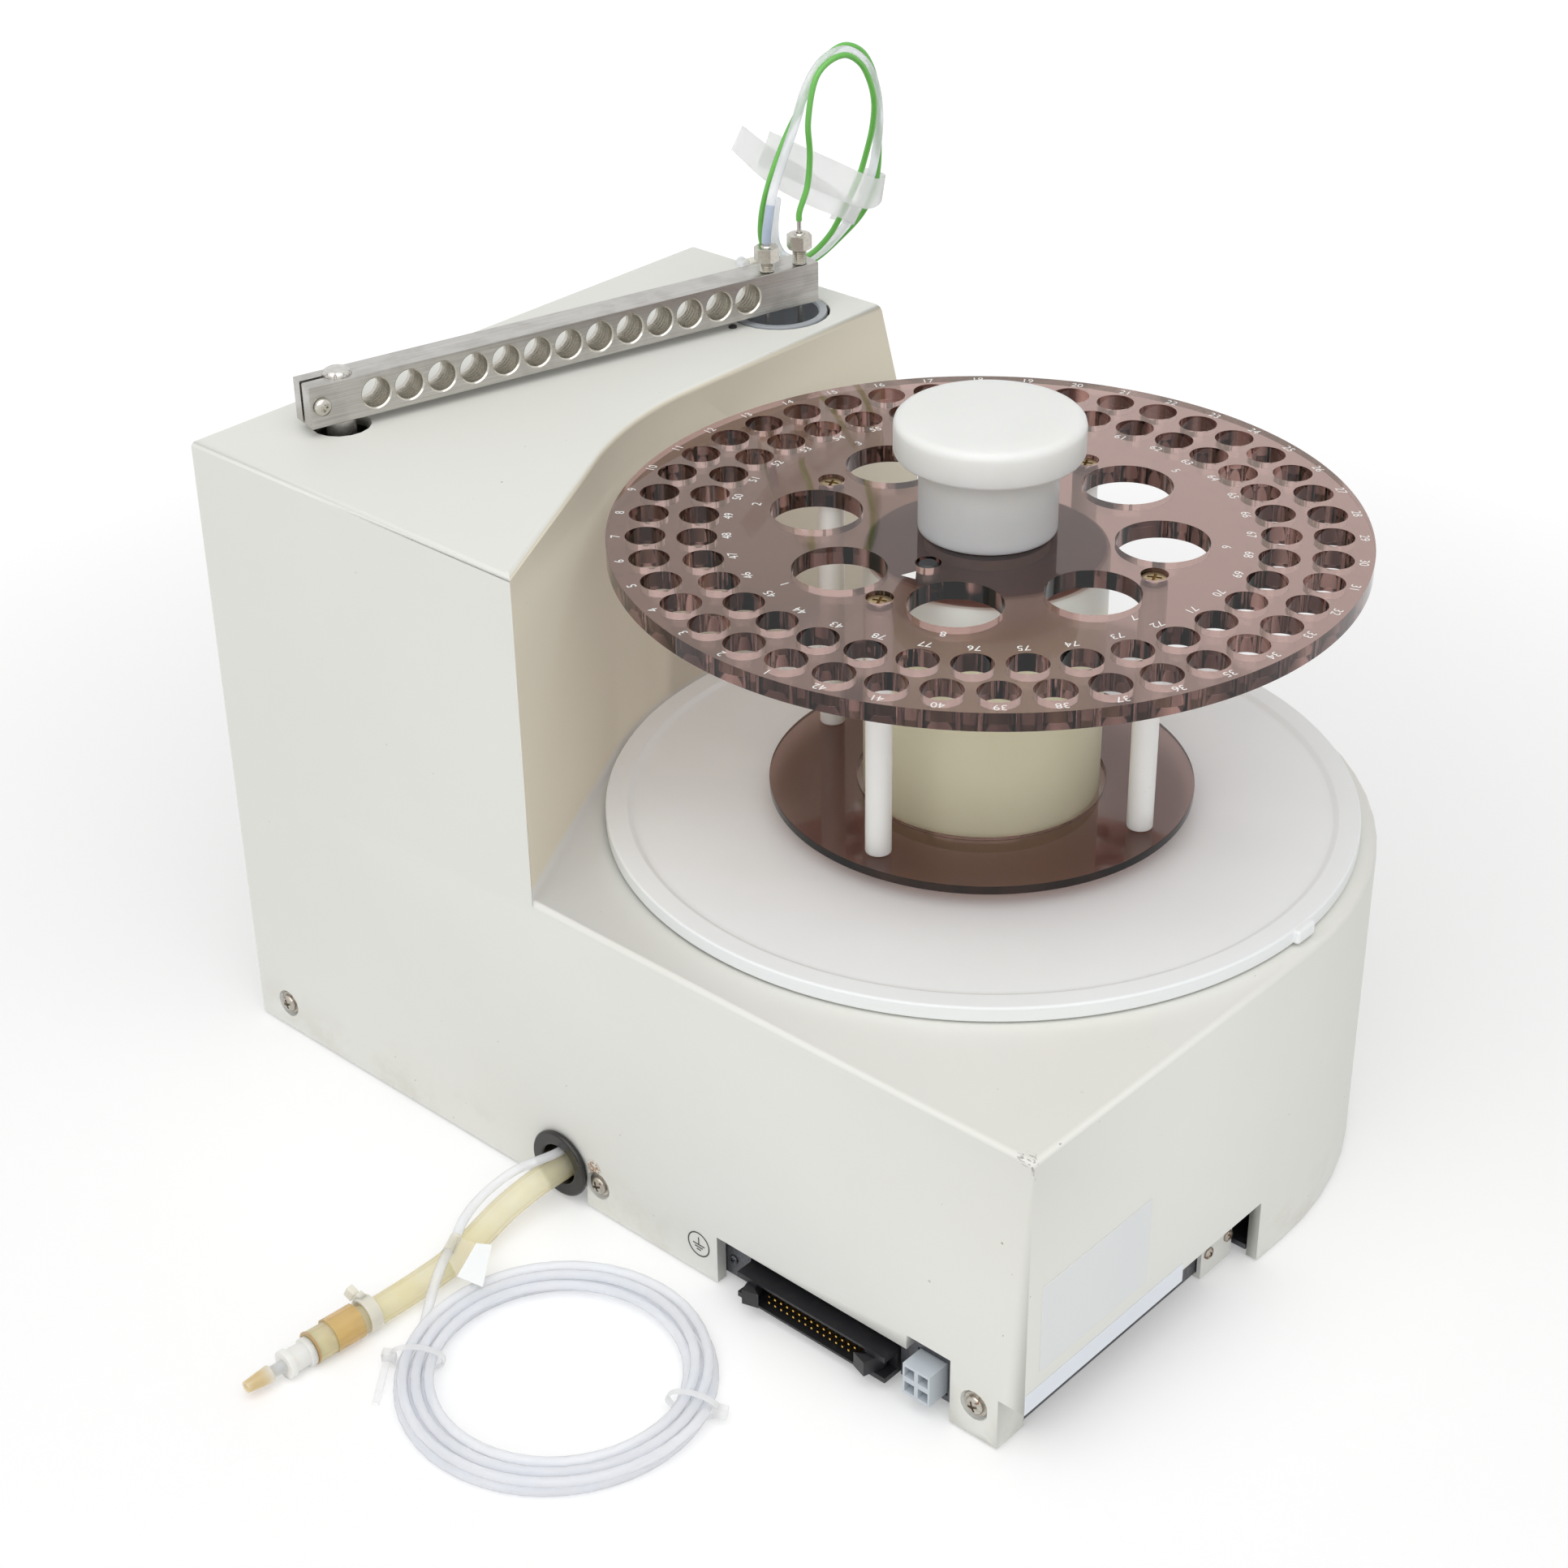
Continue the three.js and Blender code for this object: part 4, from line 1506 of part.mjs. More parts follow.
function buildCords() {
  addCord(autosampler, 'drain_hose', tube(DRAIN_ROUTE, DRAIN_RADIUS, HOSE_SIDES, HOSE_STEPS), amberTube());
  buildReducer();
  const coil = coilPoints();
  console.log('tube_coil least gap to itself', leastGap(coil, RINSE_RADIUS).toFixed(2));
  addCord(autosampler, 'tube_coil', woundTube(coil, RINSE_RADIUS, COIL_SIDES), clearTube());
  const route = [...RINSE_ROUTE, ...coilLeadIn(coil)];
  addCord(autosampler, 'rinse_tube', tube(route, RINSE_RADIUS, TUBE_SIDES, RINSE_STEPS), clearTube());
  addCord(arm, 'arm_tube_green', tube(GREEN_ROUTE, GREEN_RADIUS, TUBE_SIDES, GREEN_STEPS), greenTube());
  addCord(arm, 'arm_tube_clear', tube(CLEAR_ROUTE, CLEAR_RADIUS, TUBE_SIDES, CLEAR_STEPS), clearTube());
}

buildCover();
buildCoverScrews();
buildChassis();
buildBracket();
buildGrommet();
buildHeader();
buildSocket();
buildCup();
buildHousing();
buildTableMotor();
buildSpindle();
buildTray();
buildDiscs();
buildPosts();
buildKnob();
buildArmShaft();
buildArmBar();
buildNeedles();
buildSwingGear();
buildColumn();
buildCarriage();
buildLift();
buildCords();

// Stand the whole centred over the origin; the hoses and tubes don't count.
autosampler.updateMatrixWorld(true);
const extent = new THREE.Box3();
autosampler.traverse((piece) => {
  if (piece.isMesh && !cordNames.has(piece.name)) extent.expandByObject(piece, true);
});
const centre = extent.getCenter(new THREE.Vector3());
autosampler.position.set(-centre.x, -centre.y, -extent.min.z);

export default autosampler;
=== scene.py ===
"""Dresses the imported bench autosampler: finishes, smooth pieces, hoses, small trim, lights and camera.

Sizes are in millimetres where a name or a docstring says so, and places count from the turntable axis
on the bench: X to the right along the front face, Y to the back, Z up. Blender's own units are metres.
"""

import json
import logging
from dataclasses import dataclass
from enum import Enum
from math import cos, degrees, pi, radians, sin
from typing import Optional, Sequence

import bpy
from mathutils import Euler, Matrix, Vector


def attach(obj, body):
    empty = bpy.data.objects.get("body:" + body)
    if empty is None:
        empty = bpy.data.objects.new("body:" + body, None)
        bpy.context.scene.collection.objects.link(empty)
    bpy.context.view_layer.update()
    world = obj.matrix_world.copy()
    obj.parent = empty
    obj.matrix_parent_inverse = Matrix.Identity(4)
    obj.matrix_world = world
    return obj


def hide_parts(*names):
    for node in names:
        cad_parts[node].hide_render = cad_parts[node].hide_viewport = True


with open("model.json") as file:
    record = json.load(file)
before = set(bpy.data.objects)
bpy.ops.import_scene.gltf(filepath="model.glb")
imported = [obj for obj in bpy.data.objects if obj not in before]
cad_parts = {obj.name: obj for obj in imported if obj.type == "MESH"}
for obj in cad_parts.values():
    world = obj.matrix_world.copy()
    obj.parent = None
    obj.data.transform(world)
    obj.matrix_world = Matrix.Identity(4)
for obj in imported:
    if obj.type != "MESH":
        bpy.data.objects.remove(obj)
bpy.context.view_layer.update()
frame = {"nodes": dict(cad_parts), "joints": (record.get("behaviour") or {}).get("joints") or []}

LOG = logging.getLogger("autosampler")
MM = 0.001
FILM_DEPTH = 0.22
DOWEL = (-32.2, -2.5)
JOINTS = {joint["name"]: joint for joint in frame["joints"]}
AXIS = Vector(JOINTS["turntable_spin"]["pos_m"])
SHAFT = Vector(JOINTS["arm_swing"]["pos_m"])
ARM_TURN = radians(-14.62)
ARM_FLAT = (0, 0, ARM_TURN)
LEFTWARDS = (0, -pi / 2, 0)
ARM_ACROSS = (Matrix.Rotation(ARM_TURN, 3, "Z") @ Euler((pi / 2, 0, 0)).to_matrix()).to_euler()

Point = tuple[float, float, float]
Outline = Sequence[tuple[float, float]]
Ring = tuple[int, float, float]
Inputs = dict[object, object]
Piece = bpy.types.Object
Line = Sequence[Vector]
Turn = Sequence[float]


def spot(x: float, y: float, z: float) -> Vector:
    """Turn millimetres right of, behind and above the turntable axis on the bench into a place in metres."""
    return Vector((AXIS.x + x * MM, AXIS.y + y * MM, z * MM))


def arm_spot(along: float, behind: float, z: float) -> Vector:
    """Turn millimetres along the bar from the shaft, behind its middle and above the bench into a place."""
    flat = Matrix.Rotation(ARM_TURN, 3, "Z") @ Vector((along * MM, behind * MM, 0))
    return Vector((SHAFT.x + flat.x, SHAFT.y + flat.y, z * MM))


def up(height: float) -> Vector:
    """Give a way upwards, with its length in millimetres."""
    return Vector((0, 0, height * MM))


def turn_along(way: Vector) -> Euler:
    """Give the turn that lays an upright axis along a way."""
    return way.to_track_quat("Z", "Y").to_euler()


def band(inner: float, outer: float, low: float, high: float) -> Outline:
    """Outline a plain ring, or a rod where its inner radius is nought."""
    return [(inner, low), (outer, low), (outer, high), (inner, high)]


# Shader maths


def tint(code: int) -> Point:
    """Turn a display colour such as 0xE8E8E4 into linear light."""
    parts = [((code >> shift) & 255) / 255 for shift in (16, 8, 0)]
    return tuple(p / 12.92 if p <= 0.04045 else ((p + 0.055) / 1.055) ** 2.4 for p in parts)


@dataclass(frozen=True)
class Socket:
    """A shader value that Python's operators add nodes to."""

    shader: "Shader"
    link: bpy.types.NodeSocket

    def __add__(self, other: object) -> "Socket":
        """Add."""
        return self.shader.maths("ADD", self, other)

    __radd__ = __add__

    def __sub__(self, other: object) -> "Socket":
        """Subtract."""
        return self.shader.maths("SUBTRACT", self, other)

    def __rsub__(self, other: object) -> "Socket":
        """Subtract from a number."""
        return self.shader.maths("SUBTRACT", other, self)

    def __mul__(self, other: object) -> "Socket":
        """Multiply."""
        return self.shader.maths("MULTIPLY", self, other)

    __rmul__ = __mul__

    def __abs__(self) -> "Socket":
        """Drop the sign."""
        return self.shader.maths("ABSOLUTE", self)

    def above(self, level: float, width: float) -> "Socket":
        """Rise smoothly from 0 to 1 over a width about a level."""
        values = {"Value": self, "From Min": level - width / 2, "From Max": level + width / 2}
        return self.shader.node("MapRange", values, interpolation_type="SMOOTHSTEP")

    def below(self, level: float, width: float) -> "Socket":
        """Fall smoothly from 1 to 0 about a level."""
        return 1 - self.above(level, width)


class Shader:
    """The node tree of one material or world, with short ways to add nodes."""

    def __init__(self, owner: bpy.types.ID) -> None:
        """Clear the nodes of a material or a world."""
        owner.use_nodes = True
        self.tree = owner.node_tree
        self.tree.nodes.clear()

    def _set(self, socket: bpy.types.NodeSocket, value: object) -> None:
        """Link a value to an input, or set the input's own value; a colour may be a display code."""
        if isinstance(value, Socket):
            value = value.link
        if isinstance(value, bpy.types.NodeSocket):
            self.tree.links.new(value, socket)
        elif socket.type == "RGBA":
            socket.default_value = (*tint(value), 1)
        else:
            socket.default_value = value

    def raw(self, kind: str, values: Inputs, **settings: object) -> bpy.types.Node:
        """Add a node with its settings and with values or links by input name or number."""
        node = self.tree.nodes.new(f"ShaderNode{kind}")
        for key, value in settings.items():
            setattr(node, key, value)
        for key, value in values.items():
            self._set(node.inputs[key], value)
        return node

    def node(self, kind: str, values: Inputs, out: object = 0, **settings: object) -> Socket:
        """Add a node and take one of its outputs."""
        return Socket(self, self.raw(kind, values, **settings).outputs[out])

    def maths(self, operation: str, *values: object) -> Socket:
        """Add one Math node."""
        return self.node("Math", dict(enumerate(values)), operation=operation)

    def vector(self, operation: str, *values: object, out: str = "Value") -> Socket:
        """Add one Vector Math node."""
        return self.node("VectorMath", dict(enumerate(values)), out, operation=operation)

    def place(self) -> Socket:
        """Give the place on the piece, in metres."""
        return self.node("TexCoord", {}, "Object")

    def axis(self, name: str, place: Optional[Socket] = None) -> Socket:
        """Give one coordinate of a place."""
        return self.node("SeparateXYZ", {0: place or self.place()}, name)

    def mapped(self, scale: Point, turn: float = 0) -> Socket:
        """Give the place on the piece, turned about Z and stretched."""
        middle = self.node("Mapping", {"Vector": self.place(), "Rotation": (0, 0, turn)}, vector_type="TEXTURE")
        return self.node("Mapping", {"Vector": middle, "Scale": scale})

    def noise(self, scale: float, detail: float = 2, place: Optional[Socket] = None, rough: float = 0.5) -> Socket:
        """Give a noise about one half, with its waves in a metre or in a unit of place."""
        values = {"Vector": place or self.place(), "Scale": scale, "Detail": detail, "Roughness": rough}
        return self.node("TexNoise", values)

    def around(self, level: float, reach: float, scale: float, detail: float = 2) -> Socket:
        """Give a value that a noise moves a little about its level."""
        return level + reach * (self.noise(scale, detail) - 0.5)

    def away(self, place: Vector) -> Socket:
        """Give the distance from a place, in metres."""
        return self.vector("DISTANCE", self.place(), tuple(place))

    def facing(self, name: str) -> Socket:
        """Give one coordinate of the way that the surface faces."""
        return self.axis(name, self.node("NewGeometry", {}, "True Normal"))

    def seen(self) -> Socket:
        """Give 1 to what the camera sees, also through glass and in a gloss, and 0 to other light."""
        path = self.raw("LightPath", {})
        straight = self.maths("MAXIMUM", path.outputs["Is Camera Ray"], path.outputs["Is Transmission Ray"])
        return self.maths("MAXIMUM", straight, path.outputs["Is Glossy Ray"])

    def mix(self, factor: object, first: object, second: object) -> Socket:
        """Mix two colours."""
        return self.node("Mix", {0: factor, 6: first, 7: second}, 2, data_type="RGBA")

    def bump(self, height: Socket, distance: float) -> Socket:
        """Turn a height into a normal; the distance is in millimetres."""
        return self.node("Bump", {"Height": height, "Distance": distance * MM, "Strength": 1})


# Finishes


def softness(weight: float, reach: Point = (0.01, 0.009, 0.008)) -> Inputs:
    """Let light into a surface, as far as the reach says for each colour, in metres."""
    return {"Subsurface Weight": weight, "Subsurface Radius": reach, "Subsurface Scale": 1.0}


@dataclass(frozen=True)
class Plastic:
    """Moulded plastic with a fine skin, slight colour drift and dust."""

    name: str
    colour: int
    drift: int
    roughness: float
    grain: float
    grain_size: float
    soft: float = 0.0
    coat: float = 0.0
    stain: int = 0
    stain_place: Point = (0.0, 0.0, 0.0)
    stain_reach: float = 0.0

    def inputs(self, shader: Shader) -> Inputs:
        """Give the surface's inputs."""
        base = shader.mix(shader.noise(14, 3).above(0.5, 0.5), self.colour, self.drift)
        if self.stain:
            near = shader.away(spot(*self.stain_place)).below(self.stain_reach * MM, self.stain_reach * MM)
            base = shader.mix(near, base, self.stain)
        return {
            "Base Color": base,
            "Roughness": shader.around(self.roughness, 0.12, 60, 3),
            "Coat Weight": self.coat,
            "Coat Roughness": 0.15,
            "Normal": shader.bump(shader.noise(1000 / self.grain_size), self.grain),
            **softness(self.soft),
        }


@dataclass(frozen=True)
class DrumPlastic:
    """The drum's cream plastic, with painted light greying its side near the top and painted shade on its upper face.
    """

    name: str = "cream_plastic"
    colour: int = 0xDEDABF
    drift: int = 0xD8D3B4
    # Painted light: the grey-white of the drum's side near its top, where light falls from above.
    high: int = 0xD3D4CD
    # Painted shade: the dark brownish upper face in the narrow gap under the disc.
    shaded: int = 0x8A7068
    level: float = 193.0
    top: float = 206.9

    def inputs(self, shader: Shader) -> Inputs:
        """Give the surface's inputs."""
        height = shader.axis("Z")
        base = shader.mix(shader.noise(20, 3).above(0.5, 0.5), self.colour, self.drift)
        # Painted light: the side greys towards the top.
        base = shader.mix(height.above(self.level * MM, 14 * MM), base, self.high)
        # Painted shade on the upper face.
        face = shader.facing("Z").above(0.9, 0.1) * height.above(self.top * MM, 0.1 * MM)
        return {
            "Base Color": shader.mix(face, base, self.shaded),
            "Roughness": shader.around(0.35, 0.1, 60, 3),
            "Normal": shader.bump(shader.noise(800), 0.008),
            **softness(0.25),
        }


@dataclass(frozen=True)
class CoverPlastic:
    """The ivory cover: fine spark-eroded skin, grime low down, specks, a rust stain, one scuffed corner, and a painted
    yellowish shade on the tower hollow's front-facing wall.
    """

    name: str = "cover_plastic"
    colour: int = 0xE7E7E2
    drift: int = 0xE4E4DD
    grime: int = 0xBDB8A2
    speck: int = 0x6F6A5E
    # Painted shade: the yellowish tint of the tower's shaded hollow.
    painted_warm_shade: int = 0xE9E0C9
    worn: int = 0x8E8C88
    rust: int = 0xAD7A4C
    painted_shade_level: float = 118.0
    corner: Point = (-138.5, -127, 113)
    edge: Point = (-138.5, -130, 110)
    screw: Point = (-138.5, 48.8, 18.2)

    def scuff(self, shader: Shader) -> Socket:
        """Give the share of wear at the deck's front corner, on its top and down its edge."""
        marks = shader.noise(1, 3, shader.mapped((1500, 420, 1500))).above(0.58, 0.08)
        near = shader.away(spot(*self.corner)).below(3.6 * MM, 2 * MM)
        chip = near * shader.axis("Z").above(111.4 * MM, 0.8 * MM)
        shifted = shader.vector("SUBTRACT", shader.place(), tuple(spot(*self.edge)), out="Vector")
        flat = shader.vector("MULTIPLY", shifted, (1.0, 1.0, 0.3), out="Vector")
        rim = shader.vector("LENGTH", flat).below(1.1 * MM, 0.5 * MM)
        rubbed = rim * shader.noise(1, 2, shader.mapped((900, 900, 300))).above(0.55, 0.1)
        return shader.maths("MAXIMUM", chip * marks, rubbed)

    def inputs(self, shader: Shader) -> Inputs:
        """Give the surface's inputs."""
        height = shader.axis("Z")
        patches = shader.noise(45, 4, rough=0.65).above(0.56, 0.2)
        # Painted shade: faces turned to the front above the deck, on the tower's hollow wall, take the yellowish tint.
        hollow = shader.facing("Y").below(-0.6, 0.4) * height.above(self.painted_shade_level * MM, 3 * MM)
        scuff = self.scuff(shader)
        near = shader.away(spot(*self.screw)).below(2.8 * MM, 2 * MM)
        base = shader.mix(shader.noise(9, 3).above(0.5, 0.45), self.colour, self.drift)
        for share, colour in (
            (height.below(14 * MM, 24 * MM) * patches * 0.22, self.grime),
            (shader.noise(420, 1).above(0.785, 0.03) * shader.noise(21).above(0.56, 0.1) * 0.6, self.speck),
            # Painted shade in the hollow.
            (hollow * 0.8, self.painted_warm_shade),
            (scuff * 0.75, self.worn),
            (near * shader.noise(1100).above(0.48, 0.1) * 0.9, self.rust),
        ):
            base = shader.mix(share, base, colour)
        return {
            "Base Color": base,
            "Roughness": shader.around(0.5, 0.1, 70) + scuff * 0.2,
            "Normal": shader.bump(shader.noise(1500), 0.014),
        }


@dataclass(frozen=True)
class Brushed:
    """Metal with fine lines along one direction or even grain, light wear, stains and rust."""

    name: str
    colour: int = 0xC9C7C3
    dark: int = 0xA7A49F
    turn: float = 0.0
    roughness: float = 0.3
    stretch: Point = (30.0, 2600.0, 2600.0)
    rust: float = 0.0
    rust_colour: int = 0x7A4A2C

    def inputs(self, shader: Shader) -> Inputs:
        """Give the surface's inputs."""
        lines = shader.noise(1, 3, shader.mapped(self.stretch, self.turn), 0.6)
        stains = shader.noise(120, 4).above(0.56, 0.25)
        base = shader.mix(lines.above(0.5, 0.5) * 0.7 + stains * 0.3, self.colour, self.dark)
        metal = 0.95
        if self.rust:
            spots = shader.noise(700, 3).above(1 - self.rust, 0.1)
            base = shader.mix(spots, base, self.rust_colour)
            metal = metal - spots * 0.8
        return {
            "Base Color": base,
            "Metallic": metal,
            "Roughness": self.roughness + 0.25 * (lines - 0.5) + stains * 0.08,
            "Normal": shader.bump(lines, 0.01),
        }


@dataclass(frozen=True)
class Smoked:
    """See-through smoked acrylic with fine scratches; walls and rims carry painted shade, darker than the broad faces,
    banded with painted refracted highlights.
    """

    name: str = "smoke_acrylic"
    colour: int = 0xAB8D85
    drift: int = 0xA4867E
    # Painted shade on walls and rims, for light lost along long paths through the acrylic.
    edge: int = 0x402925
    # Painted highlight: the pinkish stripes on walls and rims, refracted from the holes.
    painted_glint: int = 0xA37C73

    def inputs(self, shader: Shader) -> Inputs:
        """Give the surface's inputs."""
        scratches = shader.noise(1, 3, shader.mapped((70, 1400, 60), 0.5), 0.6).above(0.66, 0.05)
        # Painted refracted highlights in stripes along walls and rims.
        glint_bands = shader.noise(1, 1, shader.mapped((70, 70, 5))).above(0.57, 0.3)
        broad = shader.mix(shader.noise(12), self.colour, self.drift)
        walls = shader.mix(glint_bands, self.edge, self.painted_glint)
        return {
            # Walls and rims take the painted shade and highlights; broad faces keep the plain smoke.
            "Base Color": shader.mix(abs(shader.facing("Z")).above(0.6, 0.4), walls, broad),
            "Roughness": 0.05 + scratches * 0.1,
            "Transmission Weight": 1.0,
            "IOR": 1.45,
        }


@dataclass(frozen=True)
class Tubing:
    """Translucent wall of a hose, a tube or a film; a painted rim shade deepens the colour where the eye grazes it,
    with a faint painted line of the bore.
    """

    name: str
    colour: int
    drift: int
    transmission: float
    roughness: float
    ior: float
    soft: float = 0.0
    rim: int = 0

    def inputs(self, shader: Shader) -> Inputs:
        """Give the surface's inputs."""
        base = shader.mix(shader.noise(60).above(0.5, 0.4), self.colour, self.drift)
        # Painted shade and reflection: the colour deepens towards the rim colour where the eye grazes the wall, and a
        # faint band at mid angle stands for the bore seen through it.
        if self.rim:
            graze = shader.node("LayerWeight", {"Blend": 0.5}, "Facing")
            bore = graze.above(0.34, 0.06) * graze.below(0.46, 0.06) * 0.3
            base = shader.mix(graze.above(0.72, 0.4) * 0.75 + bore, base, self.rim)
        return {
            "Base Color": base,
            "Roughness": shader.around(self.roughness, 0.1, 200),
            "Transmission Weight": self.transmission,
            "IOR": self.ior,
            "Coat Weight": 0.5,
            "Coat Roughness": 0.08,
            **softness(self.soft, (0.004, 0.004, 0.004)),
        }


@dataclass(frozen=True)
class HeaderPlastic:
    """Black moulded header whose pins are gold."""

    name: str = "black_plastic_header"
    colour: int = 0x1F1F22
    dust: int = 0x3A3936
    gold: int = 0xE0B860
    floor: float = -135.2
    middle: tuple[float, float] = (-48.5, 8.7)
    half: tuple[float, float] = (18.6, 2.1)

    def inputs(self, shader: Shader) -> Inputs:
        """Give the surface's inputs; what stands out of the header's floor is a pin."""
        centre = spot(self.floor, *self.middle)
        pins = shader.axis("X").below(centre.x - 0.1 * MM, 0.02 * MM)
        for name, middle, half in zip("YZ", centre.yz, self.half):
            pins = pins * abs(shader.axis(name) - middle).below(half * MM, 0.02 * MM)
        black = shader.mix(shader.noise(300, 3).above(0.6, 0.2) * 0.25, self.colour, self.dust)
        return {
            "Base Color": shader.mix(pins, black, self.gold),
            "Metallic": pins,
            "Roughness": 0.45 - pins * 0.2,
            "Normal": shader.bump(shader.noise(1800), 0.01),
        }


class Finish(Enum):
    """Every finish of the autosampler, with the record's slot that it stands for."""

    COVER = CoverPlastic()
    GREY_METAL = Brushed("grey_metal", 0x6A6B6F, 0x55565A, roughness=0.42, stretch=(900.0, 900.0, 900.0))
    STEEL = Brushed("steel", turn=ARM_TURN)
    TURNED_STEEL = Brushed("turned_steel", 0xD8D6D2, 0xB4B1AC, stretch=(500.0, 500.0, 4000.0))
    ZINC = Brushed("zinc", 0xC6C1B8, 0x9C958A, roughness=0.32, stretch=(700.0, 700.0, 700.0), rust=0.34)
    NICKEL = Brushed("nickel", 0xCBC7BF, 0xB9B5AB, roughness=0.22, stretch=(900.0, 900.0, 900.0))
    BRASS = Brushed("brassy_zinc", 0xB9A27C, 0x8E7A5A, roughness=0.34, stretch=(600.0, 600.0, 600.0), rust=0.34)
    RUSTY = Brushed("rusty_zinc", 0xB9B2A6, 0x9A9183, roughness=0.4, stretch=(700.0, 700.0, 700.0), rust=0.42)
    DARK_SCREW = Brushed("dark_screw", 0x5B5C60, 0x47484C, roughness=0.4, stretch=(700.0, 700.0, 700.0))
    BLACK_RUBBER = Plastic("black_rubber", 0x1E1D1C, 0x2A2826, 0.65, 0.02, 0.9)
    GLOSSY_RUBBER = Plastic("glossy_rubber", 0x191817, 0x242220, 0.25, 0.006, 1.5)
    BLACK_PLASTIC = Plastic("black_plastic", 0x1F1F22, 0x2A2A2C, 0.42, 0.012, 0.6)
    HEADER = HeaderPlastic()
    CREAM = DrumPlastic()
    WHITE = Plastic("white_plastic", 0xF5F8F9, 0xF1F4F4, 0.38, 0.008, 0.8)
    SOCKET = Plastic("socket_plastic", 0xC9D0D6, 0xBFC8CF, 0.3, 0.006, 0.8)
    POST = Plastic("post_plastic", 0xF4F4F2, 0xEEEEEA, 0.3, 0.006, 1.0, 0.3)
    KNOB = Plastic("clear_plastic", 0xEDEEEC, 0xE7E8E4, 0.42, 0.01, 1.6, 0.8)
    SMOKE = Smoked()
    MOTOR = Plastic("motor_black", 0x26262A, 0x303034, 0.4, 0.012, 0.8)
    BOARD = Plastic("board_green", 0x2D6A48, 0x245A3C, 0.4, 0.01, 0.5)
    CUP = Plastic("grey_cup", 0xA9ADB2, 0x9CA1A7, 0.35, 0.01, 0.8)
    ACETAL = Plastic("acetal", 0xE8E4D6, 0xE0DBC9, 0.4, 0.01, 0.9, 0.2)
    GREEN_TUBE = Tubing("green_tube", 0x6FC054, 0x62B248, 0.0, 0.3, 1.45, 0.2)
    CLEAR_TUBE = Tubing("clear_tube", 0xFAFBFF, 0xF5F8FE, 0.55, 0.5, 1.07, 0.9)
    AMBER_TUBE = Tubing("amber_tube", 0xF7F2DC, 0xF3EBC6, 0.6, 0.08, 1.12, 0.7, 0xDDCB8C)
    AMBER_SLEEVE = Tubing("amber_sleeve", 0xF0D6A2, 0xEACB8C, 0.6, 0.08, 1.12, 0.7, 0xD6A55C)
    BLUE_TUBE = Tubing("blue_tube", 0xD0DBEE, 0xC8D5EB, 0.4, 0.4, 1.07, 0.6)
    NYLON = Plastic("nylon", 0xEDE9DA, 0xE6E0CC, 0.35, 0.008, 0.9, 0.5)
    TAPE = Tubing("tape", 0xFDFDFD, 0xF9F9F9, 0.6, 0.55, 1.04, 0.8)
    FILM = Tubing("clear_film", 0xFCFCF8, 0xF6F3E8, 0.8, 0.15, 1.05)
    REDUCER = Plastic("reducer_nylon", 0xF3F1EA, 0xEEEADF, 0.3, 0.006, 0.9, 0.8, 0.2, 0xE3BD88, (-270.5, 65.3, 4.9), 7)
    RING = Plastic("amber_ring", 0xB98B50, 0xA87A42, 0.3, 0.006, 0.8, 0.5, 0.4)
    INK = Plastic("white_ink", 0xF4F4F2, 0xE8E8E4, 0.5, 0.004, 0.6)
    PAPER = Plastic("label_paper", 0xE6E8E8, 0xE1E4E5, 0.5, 0.01, 0.5)
    STRIP = Plastic("strip_film", 0xE7ECF3, 0xE0E6EE, 0.3, 0.004, 0.8)
    DARK_INK = Plastic("dark_ink", 0x4A4A48, 0x3C3C3A, 0.5, 0.004, 0.6)

    @property
    def material(self) -> bpy.types.Material:
        """Build the finish once, and give the same material after that."""
        name = f"{self.value.name}_look"
        if name not in bpy.data.materials:
            shader = Shader(bpy.data.materials.new(name))
            surface = shader.node("BsdfPrincipled", self.value.inputs(shader))
            shader.raw("OutputMaterial", {"Surface": surface})
        return bpy.data.materials[name]


# Modelling


def deselect() -> None:
    """Leave edit mode and select nothing."""
    if bpy.context.object and bpy.context.object.mode != "OBJECT":
        bpy.ops.object.mode_set(mode="OBJECT")
    bpy.ops.object.select_all(action="DESELECT")


def pick(*pieces: Piece) -> None:
    """Select some pieces, the first of them active."""
    deselect()
    for piece in pieces:
        piece.select_set(True)
    bpy.context.view_layer.objects.active = pieces[0]


def settle(piece: Piece, **moves: Sequence[float]) -> Piece:
    """Give a piece its place, turn or scale, and take that up in its mesh."""
    for key, value in moves.items():
        setattr(piece, key, value)
    pick(piece)
    bpy.ops.object.transform_apply(location=True, rotation=True, scale=True)
    return piece


def cylinder(name: str, radius: float, depth: float, centre: Vector, sides: int) -> Piece:
    """Add an upright cylinder about a middle, with its radius and depth in millimetres."""
    deselect()
    bpy.ops.mesh.primitive_cylinder_add(vertices=sides, radius=radius * MM, depth=depth * MM, location=centre)
    bpy.context.object.name = name
    return settle(bpy.context.object)


def box(name: str, size: Point, centre: Vector, turn: Turn = (0, 0, 0)) -> Piece:
    """Add a box about a middle, with its size in millimetres."""
    deselect()
    bpy.ops.mesh.primitive_cube_add(size=1, location=centre, rotation=turn)
    bpy.context.object.name = name
    return settle(bpy.context.object, scale=[value * MM for value in size])


def modify(piece: Piece, kind: str, **settings: object) -> Piece:
    """Add a modifier with its settings and apply it."""
    pick(piece)
    modifier = piece.modifiers.new(kind.title(), kind)
    for key, value in settings.items():
        setattr(modifier, key, value)
    bpy.ops.object.modifier_apply(modifier=modifier.name)
    return piece


def rounded(piece: Piece, width: float, segments: int = 3, angle: float = 35) -> Piece:
    """Round the sharp edges; the width is in millimetres."""
    return modify(piece, "BEVEL", width=width * MM, segments=segments, limit_method="ANGLE",
                  angle_limit=radians(angle), harden_normals=False)


